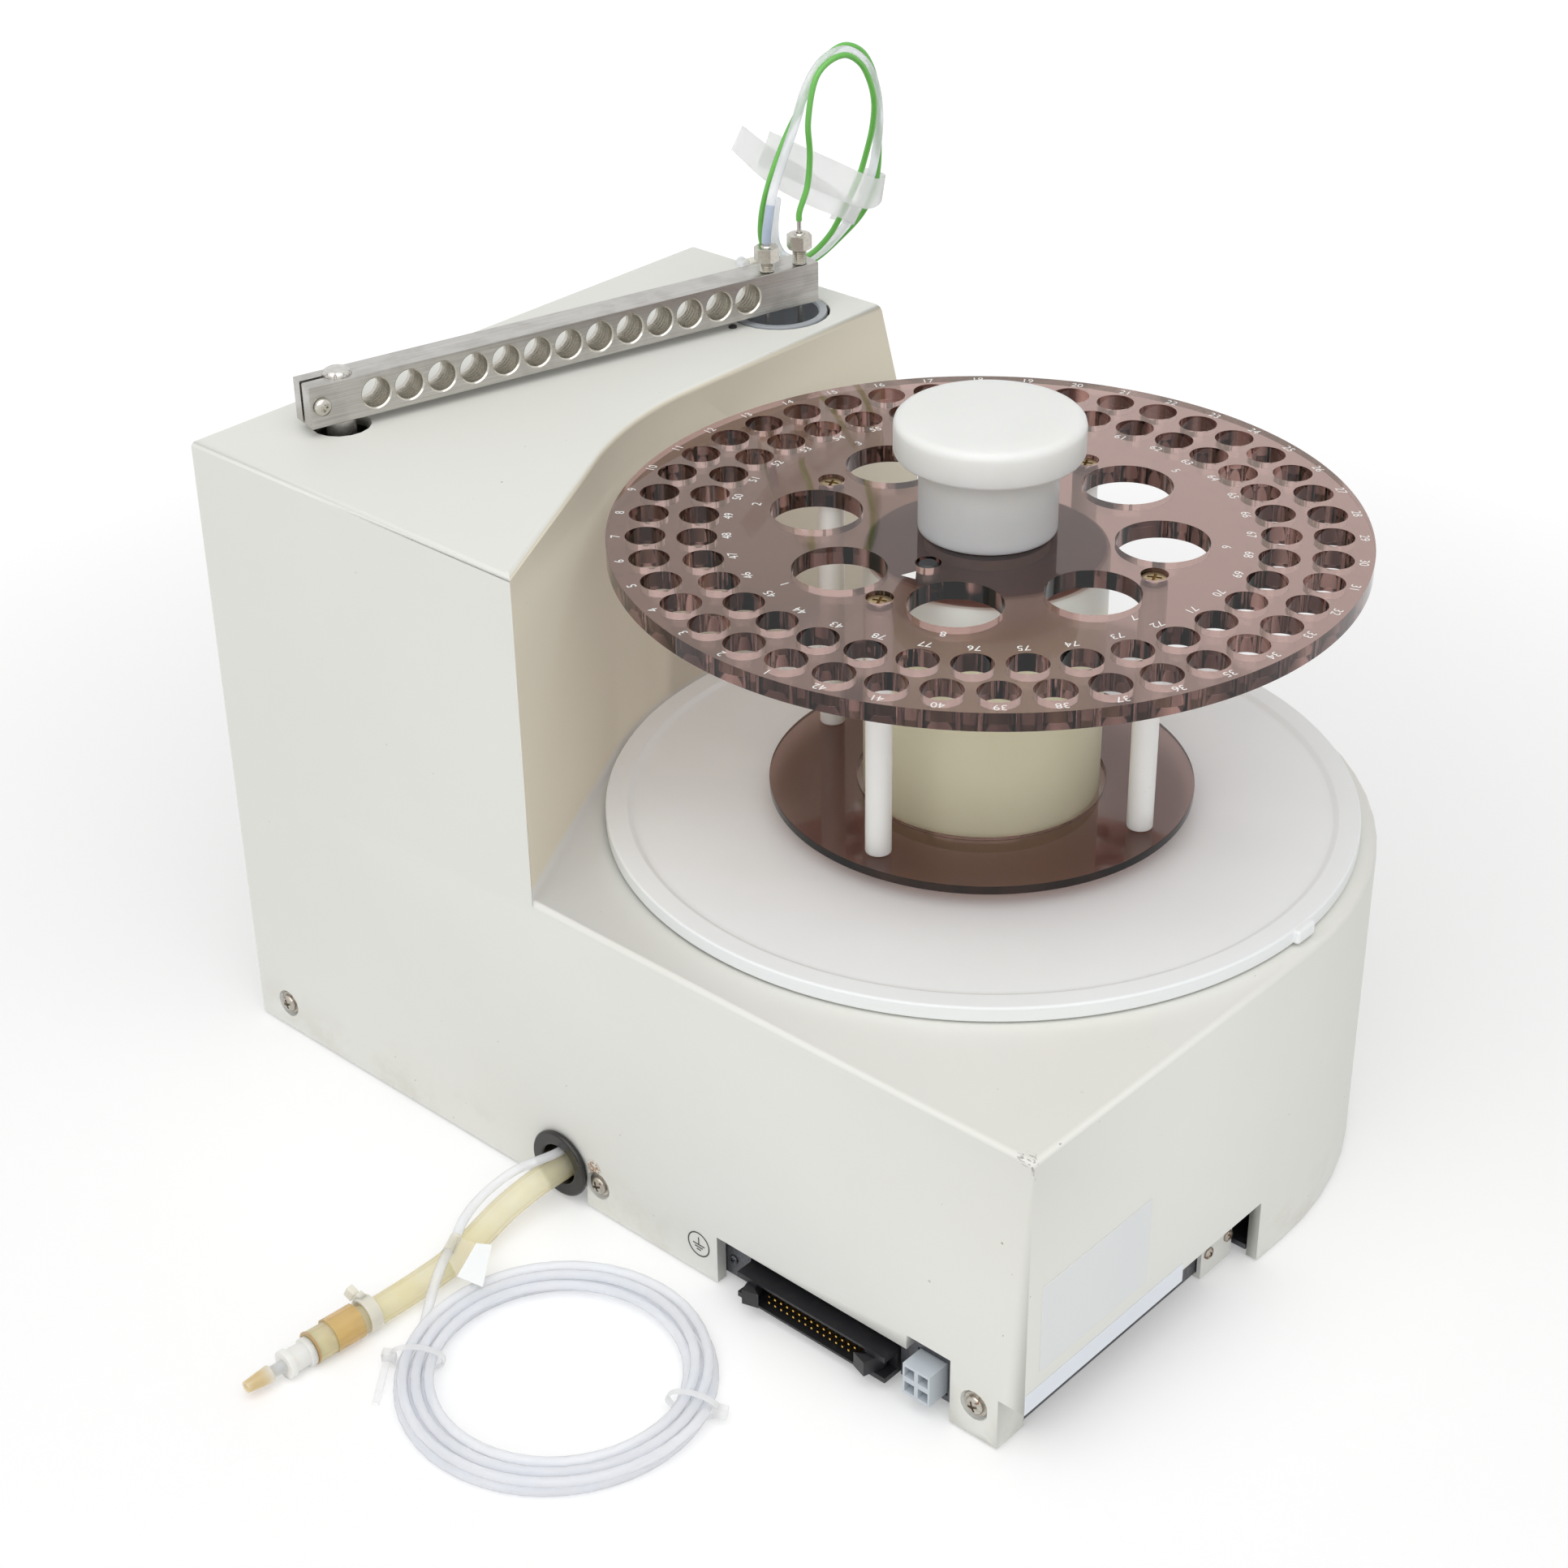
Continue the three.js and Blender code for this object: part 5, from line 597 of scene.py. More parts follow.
def smooth(piece: Piece, angle: float = 38) -> Piece:
    """Shade smooth below an angle and keep broad faces flat."""
    pick(piece)
    bpy.ops.object.shade_smooth_by_angle(angle=radians(angle))
    return modify(piece, "WEIGHTED_NORMAL", keep_sharp=True)


def joined(name: str, pieces: Sequence[Piece]) -> Piece:
    """Join pieces into the first one."""
    pick(*pieces)
    bpy.ops.object.join()
    pieces[0].name = name
    return pieces[0]


def cut(piece: Piece, cutters: Sequence[Piece]) -> Piece:
    """Take the cutters out of a piece."""
    cutter = joined("cutter", cutters)
    modify(piece, "BOOLEAN", operation="DIFFERENCE", solver="EXACT", object=cutter, use_self=True)
    bpy.data.objects.remove(cutter)
    return piece


def outward(piece: Piece) -> Piece:
    """Merge doubles and point the faces outwards."""
    pick(piece)
    bpy.ops.object.mode_set(mode="EDIT")
    bpy.ops.mesh.select_all(action="SELECT")
    bpy.ops.mesh.remove_doubles(threshold=0.002 * MM)
    bpy.ops.mesh.normals_make_consistent(inside=False)
    bpy.ops.object.mode_set(mode="OBJECT")
    return piece


def added(name: str, data: bpy.types.ID) -> Piece:
    """Add an object that shows a mesh or a curve."""
    piece = bpy.data.objects.new(name, data)
    bpy.context.scene.collection.objects.link(piece)
    return piece


def from_points(name: str, points: Sequence[Sequence[float]], edges: Sequence = (), faces: Sequence = ()) -> Piece:
    """Add a mesh made of points, edges and faces."""
    mesh = bpy.data.meshes.new(name)
    mesh.from_pydata([tuple(point) for point in points], edges, faces)
    return added(name, mesh)


def turned(name: str, profile: Outline, centre: Vector, sides: int, turn: Turn = (0, 0, 0)) -> Piece:
    """Turn a closed outline of radius and height about an upright axis.

    Args:
        name: The piece's name.
        profile: Points in millimetres; the outline closes on the axis or on itself.
        centre: The place of height zero on the axis.
        sides: How many faces round it.
        turn: A turn that lays the axis another way.

    Returns:
        The piece.
    """
    points = [(r * MM, 0, z * MM) for r, z in profile]
    edges = [(i, i + 1) for i in range(len(points) - 1)]
    if profile[0][0] > 0 and profile[-1][0] > 0:
        edges.append((len(points) - 1, 0))
    piece = from_points(name, points, edges)
    modify(piece, "SCREW", steps=sides, render_steps=sides, use_merge_vertices=True, merge_threshold=0.001 * MM)
    return settle(outward(piece), location=centre, rotation_euler=turn)


def dress(piece: Piece, finish: Finish) -> Piece:
    """Give a piece one finish."""
    piece.data.materials.clear()
    piece.data.materials.append(finish.material)
    return piece


def fitted(piece: Piece, finish: Optional[Finish], body: str, *nodes: str) -> Piece:
    """Finish a piece, unless it has its finish, and let a body carry it in place of the CAD nodes named."""
    if finish is not None:
        dress(piece, finish)
    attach(piece, body)
    if nodes:
        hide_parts(*nodes)
    LOG.info("%s rides on %s", piece.name, body)
    return piece


def spun(name: str, profile: Outline, place: Vector, sides: int, finish: Finish, body: str, *nodes: str,
         turn: Turn = (0, 0, 0), angle: float = 38, bevel: Sequence[float] = ()) -> Piece:
    """Turn an outline, round its edges by a width in so many steps, shade it, finish it and let it ride."""
    piece = turned(name, profile, place, sides, turn)
    if bevel:
        rounded(piece, *bevel)
    return fitted(smooth(piece, angle), finish, body, *nodes)


def between(t: float, first: Vector, last: Vector, start: float, end: float) -> Vector:
    """Mix two places by where t stands from its start to its end."""
    return first * ((end - t) / (end - start)) + last * ((t - start) / (end - start))


def catmull(points: Line, steps: int) -> list[Vector]:
    """Draw a centripetal curve through points.

    Args:
        points: The points that the curve passes.
        steps: How many stretches between two points.

    Returns:
        The curve's points.
    """
    chain = [points[0] * 2 - points[1], *points, points[-1] * 2 - points[-2]]
    line = []
    for i in range(1, len(chain) - 2):
        p0, p1, p2, p3 = chain[i - 1:i + 3]
        t1 = (p1 - p0).length ** 0.5
        t2 = t1 + (p2 - p1).length ** 0.5
        t3 = t2 + (p3 - p2).length ** 0.5
        for k in range(steps):
            t = t1 + (t2 - t1) * k / steps
            a1, a2, a3 = between(t, p0, p1, 0, t1), between(t, p1, p2, t1, t2), between(t, p2, p3, t2, t3)
            line.append(between(t, between(t, a1, a2, 0, t2), between(t, a2, a3, t1, t3), t1, t2))
    line.append(points[-1].copy())
    return line


def tube(name: str, line: Line, radius: float) -> Piece:
    """Lay a round tube along a line, as a curve of one open spline; the radius is in millimetres."""
    curve = bpy.data.curves.new(name, "CURVE")
    curve.dimensions = "3D"
    curve.bevel_depth = radius * MM
    curve.bevel_resolution = 4
    curve.use_fill_caps = True
    spline = curve.splines.new("POLY")
    spline.points.add(len(line) - 1)
    for point, place in zip(spline.points, line):
        point.co = (*place, 1)
    spline.use_smooth = True
    return added(name, curve)


def as_mesh(*pieces: Piece) -> Piece:
    """Turn curves or texts into meshes, and give the first."""
    pick(*pieces)
    bpy.ops.object.convert(target="MESH")
    return pieces[0]


def length_of(line: Line) -> float:
    """Measure a line, in metres."""
    return sum((b - a).length for a, b in zip(line, line[1:]))


def domed_screw(name: str, head: float, depth: float, centre: Vector, turn: Turn,
                washer: float = 0, slots: int = 2) -> Piece:
    """Model a domed screw head with a recess of crossed slots, on a washer if one is asked for.

    Args:
        name: The piece's name.
        head: The head's radius in millimetres.
        depth: The head's depth in millimetres.
        centre: The place under the head.
        turn: The turn that lays the head's axis.
        washer: The washer's radius in millimetres.
        slots: Two for a cross, three for a six-pointed star.

    Returns:
        The piece.
    """
    foot = 0.7 if washer else 0
    angles = [radians(15 * k) for k in range(6)]
    dome = [(head * cos(a), foot + depth * (0.35 + 0.65 * sin(a))) for a in angles]
    piece = turned(name, [(0, foot), (head, foot), *dome, (0, foot + depth)], Vector(), 40)
    size = (head * (1.15 if slots == 2 else 0.9), head * 0.26, depth * 1.3)
    cut(piece, [box("arm", size, up(foot + depth), (0, 0, radians(20 + 180 * k / slots))) for k in range(slots)])
    if washer:
        ring = turned("washer", [(0, 0), (washer, 0), (washer, 0.45), (washer - 0.25, 0.7), (0, 0.7)], Vector(), 40)
        joined(name, [piece, ring])
    return settle(smooth(piece), location=centre, rotation_euler=turn)


# Camera, light and floor


@dataclass
class Studio:
    """Camera at the photograph's place, soft light and a pale floor."""

    eye: Point = (-638.93, -497.68, 606.24)
    heading: float = 42.53
    dip: float = 30.90
    roll: float = 0.86
    focal: float = 65.26
    sensor: float = 36.0
    aim: Point = (0, 40, 120)
    key_place: Point = (-740, -460, 1560)
    key_size: float = 2.4
    key: float = 27.0
    fill_place: Point = (-1500, -100, 520)
    fill_size: float = 1.6
    fill: float = 0.2
    world: float = 0.45
    floor_size: float = 14000.0
    floor_colour: int = 0xFBFBFB
    white: int = 0xFFFFFF

    def camera(self) -> None:
        """Add the camera."""
        yaw, pitch, roll = (radians(v) for v in (self.heading, self.dip, self.roll))
        forward = Vector((cos(pitch) * cos(yaw), cos(pitch) * sin(yaw), -sin(pitch)))
        level = Vector((sin(yaw), -cos(yaw), 0))
        down = forward.cross(level)
        right = cos(roll) * level + sin(roll) * down
        below = cos(roll) * down - sin(roll) * level
        data = bpy.data.cameras.new("photo_camera")
        data.sensor_fit = "HORIZONTAL"
        data.sensor_width = self.sensor
        data.lens = self.focal
        data.clip_start = 0.01
        data.clip_end = 100
        camera = added("photo_camera", data)
        turn = Matrix((right, -below, -forward)).transposed().to_4x4()
        camera.matrix_world = Matrix.Translation(spot(*self.eye)) @ turn
        bpy.context.scene.camera = camera

    def lamp(self, name: str, place: Point, size: float, power: float) -> None:
        """Add a square lamp that looks at the object's middle."""
        data = bpy.data.lights.new(name, "AREA")
        data.shape = "SQUARE"
        data.size = size
        data.energy = power
        lamp = added(name, data)
        lamp.location = spot(*place)
        lamp.rotation_euler = (spot(*self.aim) - lamp.location).to_track_quat("-Z", "Y").to_euler()

    def light(self) -> None:
        """Add the lamps and the world."""
        self.lamp("key_lamp", self.key_place, self.key_size, self.key)
        self.lamp("fill_lamp", self.fill_place, self.fill_size, self.fill)
        world = bpy.data.worlds.new("studio")
        shader = Shader(world)
        level = shader.node("MapRange", {"Value": shader.seen(), "To Min": self.world, "To Max": 1.0})
        sky = shader.node("Background", {"Color": self.white, "Strength": level})
        shader.raw("OutputWorld", {"Surface": sky})
        bpy.context.scene.world = world
        bpy.context.scene.view_settings.view_transform = "Standard"

    def floor(self) -> None:
        """Lay the floor, whose white grows with the distance from the object."""
        deselect()
        bpy.ops.mesh.primitive_plane_add(size=self.floor_size * MM, location=(AXIS.x, AXIS.y, 0))
        piece = bpy.context.object
        piece.name = "floor"
        material = bpy.data.materials.new("floor_look")
        shader = Shader(material)
        share = (0.26 + 0.69 * shader.away(Vector((0, 0.03, 0))).above(0.5, 0.5)) * shader.seen()
        plain = shader.node("BsdfDiffuse", {"Color": self.floor_colour})
        glow = shader.node("Emission", {"Color": self.white, "Strength": 1.1})
        shader.raw("OutputMaterial", {"Surface": shader.node("MixShader", {0: share, 1: plain, 2: glow})})
        piece.data.materials.append(material)
        settle(piece)

    def build(self) -> None:
        """Build all of it."""
        self.camera()
        self.light()
        self.floor()


# Hoses and tubes


@dataclass
class DrainLine:
    """Yellowed drain hose with its sleeve, clamp and reducer."""

    radius: float = 4.75
    sleeve_radius: float = 5.95
    sleeve_share: float = 0.79
    raise_by: float = 1.1
    ring: float = 2.2
    route: tuple[Point, ...] = (
        (-131, 63.6, 11.7), (-142, 63.6, 11.7), (-152, 64.6, 10.6), (-164, 65.2, 8.2), (-178, 63.6, 6),
        (-192, 61.6, 5), (-206, 61.2, 4.9), (-220, 61.6, 4.9), (-232, 62.4, 4.9), (-240, 63, 4.9),
        (-248, 63.6, 4.9),
    )

    def reducer(self) -> Piece:
        """Model the stepped reducer with its barb."""
        profile = [
            (1.1, 0.3), (4.8, 0.3), (4.8, 2.5), (4, 2.5), (4, 8), (4.8, 8), (4.8, 10.2), (2, 10.2), (2, 15.2),
            (2.9, 15.2), (1.9, 24.2), (1.1, 24.2),
        ]
        end = spot(*self.route[-1])
        lay = Euler((0, pi / 2, 0)).to_matrix()
        turn = (Matrix.Rotation(radians(175.7), 3, "Z") @ lay).to_euler()
        return spun("reducer", profile, end, 40, Finish.REDUCER, "base", "hose_reducer", turn=turn, bevel=(0.25,))

    def clamp(self, line: Line) -> Piece:
        """Model the nylon clamp ring with its ears at the sleeve's start."""
        first = int(len(line) * self.sleeve_share)
        start = line[first - 3]
        profile = band(self.radius + 0.05, self.radius + 1.2, -self.ring, self.ring)
        ring = turned("clamp", profile, start + up(self.raise_by), 40, turn_along(line[first - 1] - start))
        ears = [box("ear", (2.6, 3.4, 4.2), start + Vector((0.2, y, 5.2)) * MM, (0.5, 0, 0.1)) for y in (3.2, 7.6)]
        return fitted(smooth(rounded(joined("hose_clamp", [ring, *ears]), 0.35)), Finish.NYLON, "base")

    def sleeves(self, line: Line) -> list[Piece]:
        """Model the amber sleeve, the paler hose end after it, and the ring of its cut wall."""
        first = int(len(line) * self.sleeve_share)
        change = first + (len(line) - first) * 6 // 10
        pieces = []
        for name, part, radius, finish in (
            ("hose_sleeve", line[first:change + 1], self.sleeve_radius, Finish.AMBER_SLEEVE),
            ("hose_end", line[change:], self.sleeve_radius - 0.45, Finish.AMBER_TUBE),
        ):
            raised = [place + up(radius - self.route[-1][2] + 0.05) for place in part]
            pieces.append(fitted(smooth(as_mesh(tube(name, raised, radius))), finish, "base"))
        middle = line[-1] + up(self.raise_by - 0.4)
        wall = band(4.7, self.sleeve_radius - 0.4, -0.3, 0.2)
        turn = turn_along(line[-1] - line[-3])
        return [*pieces, spun("hose_rim", wall, middle, 40, Finish.RING, "base", turn=turn)]

    def build(self) -> None:
        """Build the hose and what is on it."""
        line = catmull([spot(*point) for point in self.route], 8)
        hose = fitted(tube("drain_line", line, self.radius), Finish.AMBER_TUBE, "base", "drain_hose")
        reducer = self.reducer()
        clamp = self.clamp(line)
        length_of(line)
        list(self.sleeves(line))


@dataclass
class RinseLine:
    """Thin rinse tube that crosses over the hose and ends in a coil."""

    radius: float = 1.6
    flag_place: Point = (-191, 60.6, 12.3)
    centre: tuple[float, float] = (-203, -0.5)
    outer: float = 49.8
    pitch: float = 4.1
    layer_turns: float = 2.5
    start: float = 108
    steps: int = 48
    tie_height: float = 4.75
    tie_reach: float = 8.5
    tie_squash: float = 0.52
    route: tuple[Point, ...] = (
        (-131, 63.6, 18.4), (-141, 63.6, 18.4), (-146, 65, 18.2), (-154, 70, 15.6), (-166, 71.6, 12.8),
        (-179, 67.6, 12.6), (-190, 61.2, 12.4), (-198, 57.6, 11.2), (-205, 54.2, 8), (-210.6, 51.2, 4),
    )
    film: tuple[Point, ...] = ((-188.4, 61.2, 13.8), (-185.5, 55.3, 12.5), (-198.3, 50.7, 9.5), (-195.2, 59.4, 12.6))
    leaf: tuple[Point, ...] = ((-185.5, 55.3, 12.5), (-182.3, 51.4, 12), (-195.6, 41.6, 8.5), (-198.3, 50.7, 9.5))
    tail_end: Point = (-248.5, 33.0, 1.4)

    def coil(self) -> list[Vector]:
        """Wind the coil: one layer inwards, half a turn up, and one layer outwards."""
        line = []
        inward = int(self.layer_turns * self.steps)
        half = self.steps // 2
        for i in range(2 * inward + half + 1):
            went = min(i, inward) - max(0, i - inward - half)
            climb = min(1, max(0, (i - inward) / half))
            radius = self.outer - went / self.steps * self.pitch
            angle = radians(self.start + 360 * i / self.steps)
            x = self.centre[0] + radius * cos(angle)
            y = self.centre[1] + radius * sin(angle)
            line.append(spot(x, y, self.radius + climb * self.pitch))
        return line

    def flag(self, line: Line) -> None:
        """Wrap the bare flag round the tube where it crosses the hose."""
        at = min(range(len(line)), key=lambda i: (line[i] - spot(*self.flag_place)).length)
        wall = band(self.radius + 0.08, self.radius + 0.35, -3.6, 3.6)
        wrap = turned("flag_band", wall, line[at], 32, turn_along(line[at + 1] - line[at - 1]))
        fitted(smooth(joined("flag_band", [wrap, self.sheet("film", self.film)])), Finish.FILM, "base")
        fitted(self.sheet("rinse_flag", self.leaf), Finish.WHITE, "base")

    def sheet(self, name: str, corners: Sequence[Point]) -> Piece:
        """Build a thin four-cornered sheet."""
        piece = from_points(name, [spot(*corner) for corner in corners], faces=[(0, 1, 2, 3)])
        return modify(piece, "SOLIDIFY", thickness=FILM_DEPTH * MM, offset=0)

    def tie(self, name: str, round_at: float, tail_end: Optional[Point] = None) -> Piece:
        """Model a clear tie round the coil's bundle: a squashed strap, its head, and a tail on one of the two.

        Args:
            name: The piece's name.
            round_at: Where it stands round the coil, in degrees.
            tail_end: Where its tail ends, if it has one.

        Returns:
            The piece.
        """
        angle = radians(round_at)
        away = Vector((cos(angle), sin(angle), 0))
        middle = spot(*self.centre, self.tie_height) + away * (self.outer - 1.25 * self.pitch) * MM
        strap = turned(name, band(self.tie_reach - 0.4, self.tie_reach + 0.4, -1.2, 1.2), Vector(), 36)
        settle(strap, scale=(self.tie_squash, 1, 1))
        settle(strap, rotation_euler=(pi / 2, 0, 0))
        settle(strap, rotation_euler=(0, pi / 2, 0))
        settle(strap, rotation_euler=(0, 0, angle), location=middle)
        pieces = [strap, box("head", (4.2, 3.2, 3.6), middle + away * (self.tie_reach + 0.3) * MM, (0, 0, angle))]
        if tail_end:
            first, last = middle + away * (self.tie_reach + 1) * MM + up(-1.2), spot(*tail_end)
            run = last - first
            lay = run.to_track_quat("X", "Z").to_euler()
            pieces.append(box("tail", (run.length / MM, 2.2, 0.8), (first + last) / 2, lay))
        return fitted(smooth(rounded(joined(name, pieces), 0.2)), Finish.TAPE, "base")

    def build(self) -> None:
        """Build the tube and what is on it."""
        coil = self.coil()
        back = (coil[0] - coil[1]).normalized()
        reach = [coil[0] + back * (2 * self.radius + 0.3) * MM]
        lead = catmull([*[spot(*point) for point in self.route], *reach], 10)
        line = [*lead, *coil]
        piece = fitted(tube("rinse_line", line, self.radius), Finish.CLEAR_TUBE, "base", "rinse_tube", "tube_coil")
        length_of(line)
        self.flag(lead)
        self.tie("tie_left", 125, self.tail_end)
        self.tie("tie_front", 291)


@dataclass
class ArmTubes:
    """Green and clear tubes that loop up from the needles' fittings."""

    green_radius: float = 1.08
    clear_radius: float = 1.6
    sleeved: tuple[int, int] = (2, 22)
    green: tuple[Point, ...] = (
        (179.4, -3, 262.3), (179.5, -3, 265), (183, -3, 274), (184.2, -3, 285.5), (183.6, -3, 297),
        (187.2, -3, 312.2), (192.6, -3, 316.7), (199.4, -3, 317.7), (205.5, -3, 313.8), (209.3, -3, 307.4),
        (211.4, -3, 299.3), (211.5, -2, 290.3), (210.1, 0, 279.7), (207.6, 2, 269.2), (203.3, 4, 259.5),
        (199, 7, 249.8), (192.2, 9.5, 243.2), (183.6, 11.5, 241.3), (176, 12, 245.9), (171.8, 10, 253.1),
        (170, 7, 262.5), (170.9, 5, 271.8), (174.2, 4, 281.7), (179.4, 4, 291.8), (185.7, 4, 301.3),
        (191.2, 4, 310.4), (196.7, 4, 316.5), (203.5, 4, 318.8), (210.4, 4, 315.9), (215.2, 4, 309),
        (217.3, 4, 300.8), (217.7, 4, 290.4), (219.2, 5, 279.5), (219.9, 7, 268.3), (219.9, 11, 258.7),
        (217.7, 15, 250.6), (211.8, 18, 243.6), (204.1, 20, 237.4), (195.8, 22, 233),
    )
    clear: tuple[Point, ...] = (
        (165.6, -3, 256.2), (165.6, -3, 259.4), (166.6, -3, 265.5), (168.8, -2, 272.8), (171.9, -1, 279.2),
        (175.7, 0, 286.3), (180.6, 0.5, 296.3), (184.4, 0.5, 306.2), (189.2, 0.5, 313.6),
        (194.6, 0.5, 317.4), (201.1, 0.5, 318.3), (207.2, 0.5, 315.3), (212.1, 0.5, 309.3),
        (214.9, 0.5, 301.2), (216, 0.5, 291.7), (215.7, 1, 282.8), (215.4, 3, 273.4), (214.3, 6, 263.7),
        (211.7, 9, 255.4), (207.4, 12, 248.1), (200.5, 14.5, 241.4), (192.9, 16, 238.6), (185.6, 16, 242),
        (179.9, 13, 249), (177.7, 10.5, 257.8), (177.9, 9, 267.2),
    )

    def lay(self, name: str, route: Sequence[Point], radius: float, finish: Finish, node: str) -> None:
        """Lay one of the two tubes; the clear one has a bluish sleeve on its first stretch."""
        line = catmull([arm_spot(*point) for point in route], 8)
        piece = fitted(tube(name, line, radius), finish, "arm", node)
        if finish is Finish.CLEAR_TUBE:
            core = as_mesh(tube("blue_sleeve", line[slice(*self.sleeved)], radius + 0.06))
            fitted(smooth(core), Finish.BLUE_TUBE, "arm")
        length_of(line)

    def build(self) -> None:
        """Build both tubes."""
        self.lay("green_line", self.green, self.green_radius, Finish.GREEN_TUBE, "arm_tube_green")
        self.lay("clear_line", self.clear, self.clear_radius, Finish.CLEAR_TUBE, "arm_tube_clear")


# Rack


@dataclass
class TubeRack:
    """Two smoked discs on posts, with numbered holes, screws and the knob."""

    disc_radius: float = 120.0
    disc_bottom: float = 210.7
    disc_depth: float = 6.0
    small_radius: float = 6.4
    large_radius: float = 14.8
    outer_ring: Ring = (42, 107.54, 194.59)
    inner_ring: Ring = (36, 91.4, 185.87)
    large_ring: Ring = (8, 55.13, 208.59)
    post_ring: Ring = (4, 60.0, 186.03)
    lower_radius: float = 70.0
    lower_bore: float = 41.0
    lower_bottom: float = 123.8
    lower_depth: float = 3.0
    ink_above: float = 0.04
    digits: float = 4.3
    pointer: tuple[tuple[float, float], ...] = ((-44.4, -1.8), (-43.6, -6.9), (-39.3, -3.6))

    @property
    def top(self) -> float:
        """Height of the top disc's upper face, in millimetres."""
        return self.disc_bottom + self.disc_depth

    @property
    def middle(self) -> float:
        """Height of the top disc's middle, in millimetres."""
        return self.disc_bottom + self.disc_depth / 2

    def ring(self, count: int, radius: float, start: float, z: float, way: int = -1) -> list[Vector]:
        """Give the places round a ring, clockwise from its first, or the other way."""
        angles = [radians(start + way * 360 * k / count) for k in range(count)]
        return [spot(radius * cos(a), radius * sin(a), z) for a in angles]

    def holes(self, ring: Ring, radius: float, sides: int) -> list[Piece]:
        """Make cutters for a ring of holes."""
        places = self.ring(*ring, self.middle)
        return [cylinder("hole", radius, self.disc_depth * 3, place, sides) for place in places]

    def top_disc(self) -> None:
        """Build the top disc with its holes."""
        disc = cylinder("rack_disc", self.disc_radius, self.disc_depth, spot(0, 0, self.middle), 192)
        bore = [(0, -20), (2.3, -20), (2.3, -3.7), (4.3, -1.6), (4.3, 3), (0, 3)]
        cutters = [
            *self.holes(self.outer_ring, self.small_radius, 32),
            *self.holes(self.inner_ring, self.small_radius, 32),
            *self.holes(self.large_ring, self.large_radius, 48),
            cylinder("hole", 4.1, self.disc_depth * 3, spot(*DOWEL, self.middle), 24),
            *[turned("hole", bore, place, 32) for place in self.ring(*self.post_ring, self.top, 1)],
        ]
        disc = rounded(cut(disc, cutters), 0.3, 2, 60)
        fitted(smooth(disc), Finish.SMOKE, "tube_rack", "top_disc")

    def lower_disc(self) -> None:
        """Build the lower disc."""
        profile = band(self.lower_bore, self.lower_radius, self.lower_bottom, self.lower_bottom + self.lower_depth)
        spun("rack_base", profile, spot(0, 0, 0), 128, Finish.SMOKE, "tube_rack", "lower_disc", bevel=(0.3, 2))

    def posts(self) -> None:
        """Build posts and countersunk screws."""
        profile = band(0, 4.25, 127.1, 210.4)
        outline = [(0, -15.9), (1.9, -15.9), (1.9, -3.7), (4.1, -1.6), (4.1, -1.3), (3.7, -1.1), (0, -1.0)]
        for k, place in enumerate(self.ring(*self.post_ring, 0, 1)):
            spun(f"post_{k + 1}", profile, place, 32, Finish.POST, "tube_rack", f"rack_post_{k + 1}", bevel=(0.3, 2))
            head = turned("head", outline, Vector(), 32)
            arms = [box("arm", (4.6, 1.0, 2.2), up(-1.3), (0, 0, radians(25 + 90 * j))) for j in range(2)]
            screw = smooth(cut(head, arms))
            screw.name = f"countersunk_{k + 1}"
            settle(screw, location=place + up(self.top))
            fitted(screw, Finish.BRASS, "tube_rack", f"rack_screw_{k + 1}")

    def knob(self) -> None:
        """Build the milky lifting knob."""
        profile = [
            (0, 229), (19, 229), (19, 217), (22, 217), (22, 240.5), (22.8, 241.7), (24.2, 242), (28.6, 242),
            (29.5, 242.4), (30, 243.3), (30, 251.3), (29.6, 252.8), (28.6, 253.8), (27, 254.2), (0, 254.3),
        ]
        spun("knob", profile, spot(0, 0, 0), 96, Finish.KNOB, "tube_rack", "lifting_knob", angle=50)

    def numbers(self) -> None:
        """Print the plain hole numbers, tops outwards, and the white pointer."""
        marks = []
        rings = [(self.outer_ring, 116.7, 1, 41), (self.inner_ring, 81.9, 43, 0), (self.large_ring, 74.6, 1, 7)]
        for (count, _, start), radius, first, skip in rings:
            for k, place in enumerate(self.ring(count, radius, start, self.top + self.ink_above)):
                turn = radians(start - 360 * k / count) - pi / 2
                marks.append(self.mark(str(first + (k + skip) % count), place, turn))
        as_mesh(*marks)
        fitted(settle(joined("hole_numbers", marks)), Finish.INK, "tube_rack")
        corners = [spot(x, y, self.top + self.ink_above) for x, y in self.pointer]
        fitted(from_points("pointer", corners, faces=[(0, 1, 2)]), Finish.INK, "tube_rack")

    def mark(self, text: str, place: Vector, turn: float) -> Piece:
        """Add one number as a flat curve."""
        deselect()
        bpy.ops.object.text_add(location=place, rotation=(0, 0, turn))
        piece = bpy.context.object
        piece.data.body = text
        piece.data.size = self.digits * MM
        piece.data.align_x = piece.data.align_y = "CENTER"
        piece.data.resolution_u = 3
        return piece

    def build(self) -> None:
        """Build the rack."""
        self.top_disc()
        self.lower_disc()
        self.posts()
        self.knob()
        self.numbers()


# Turntable


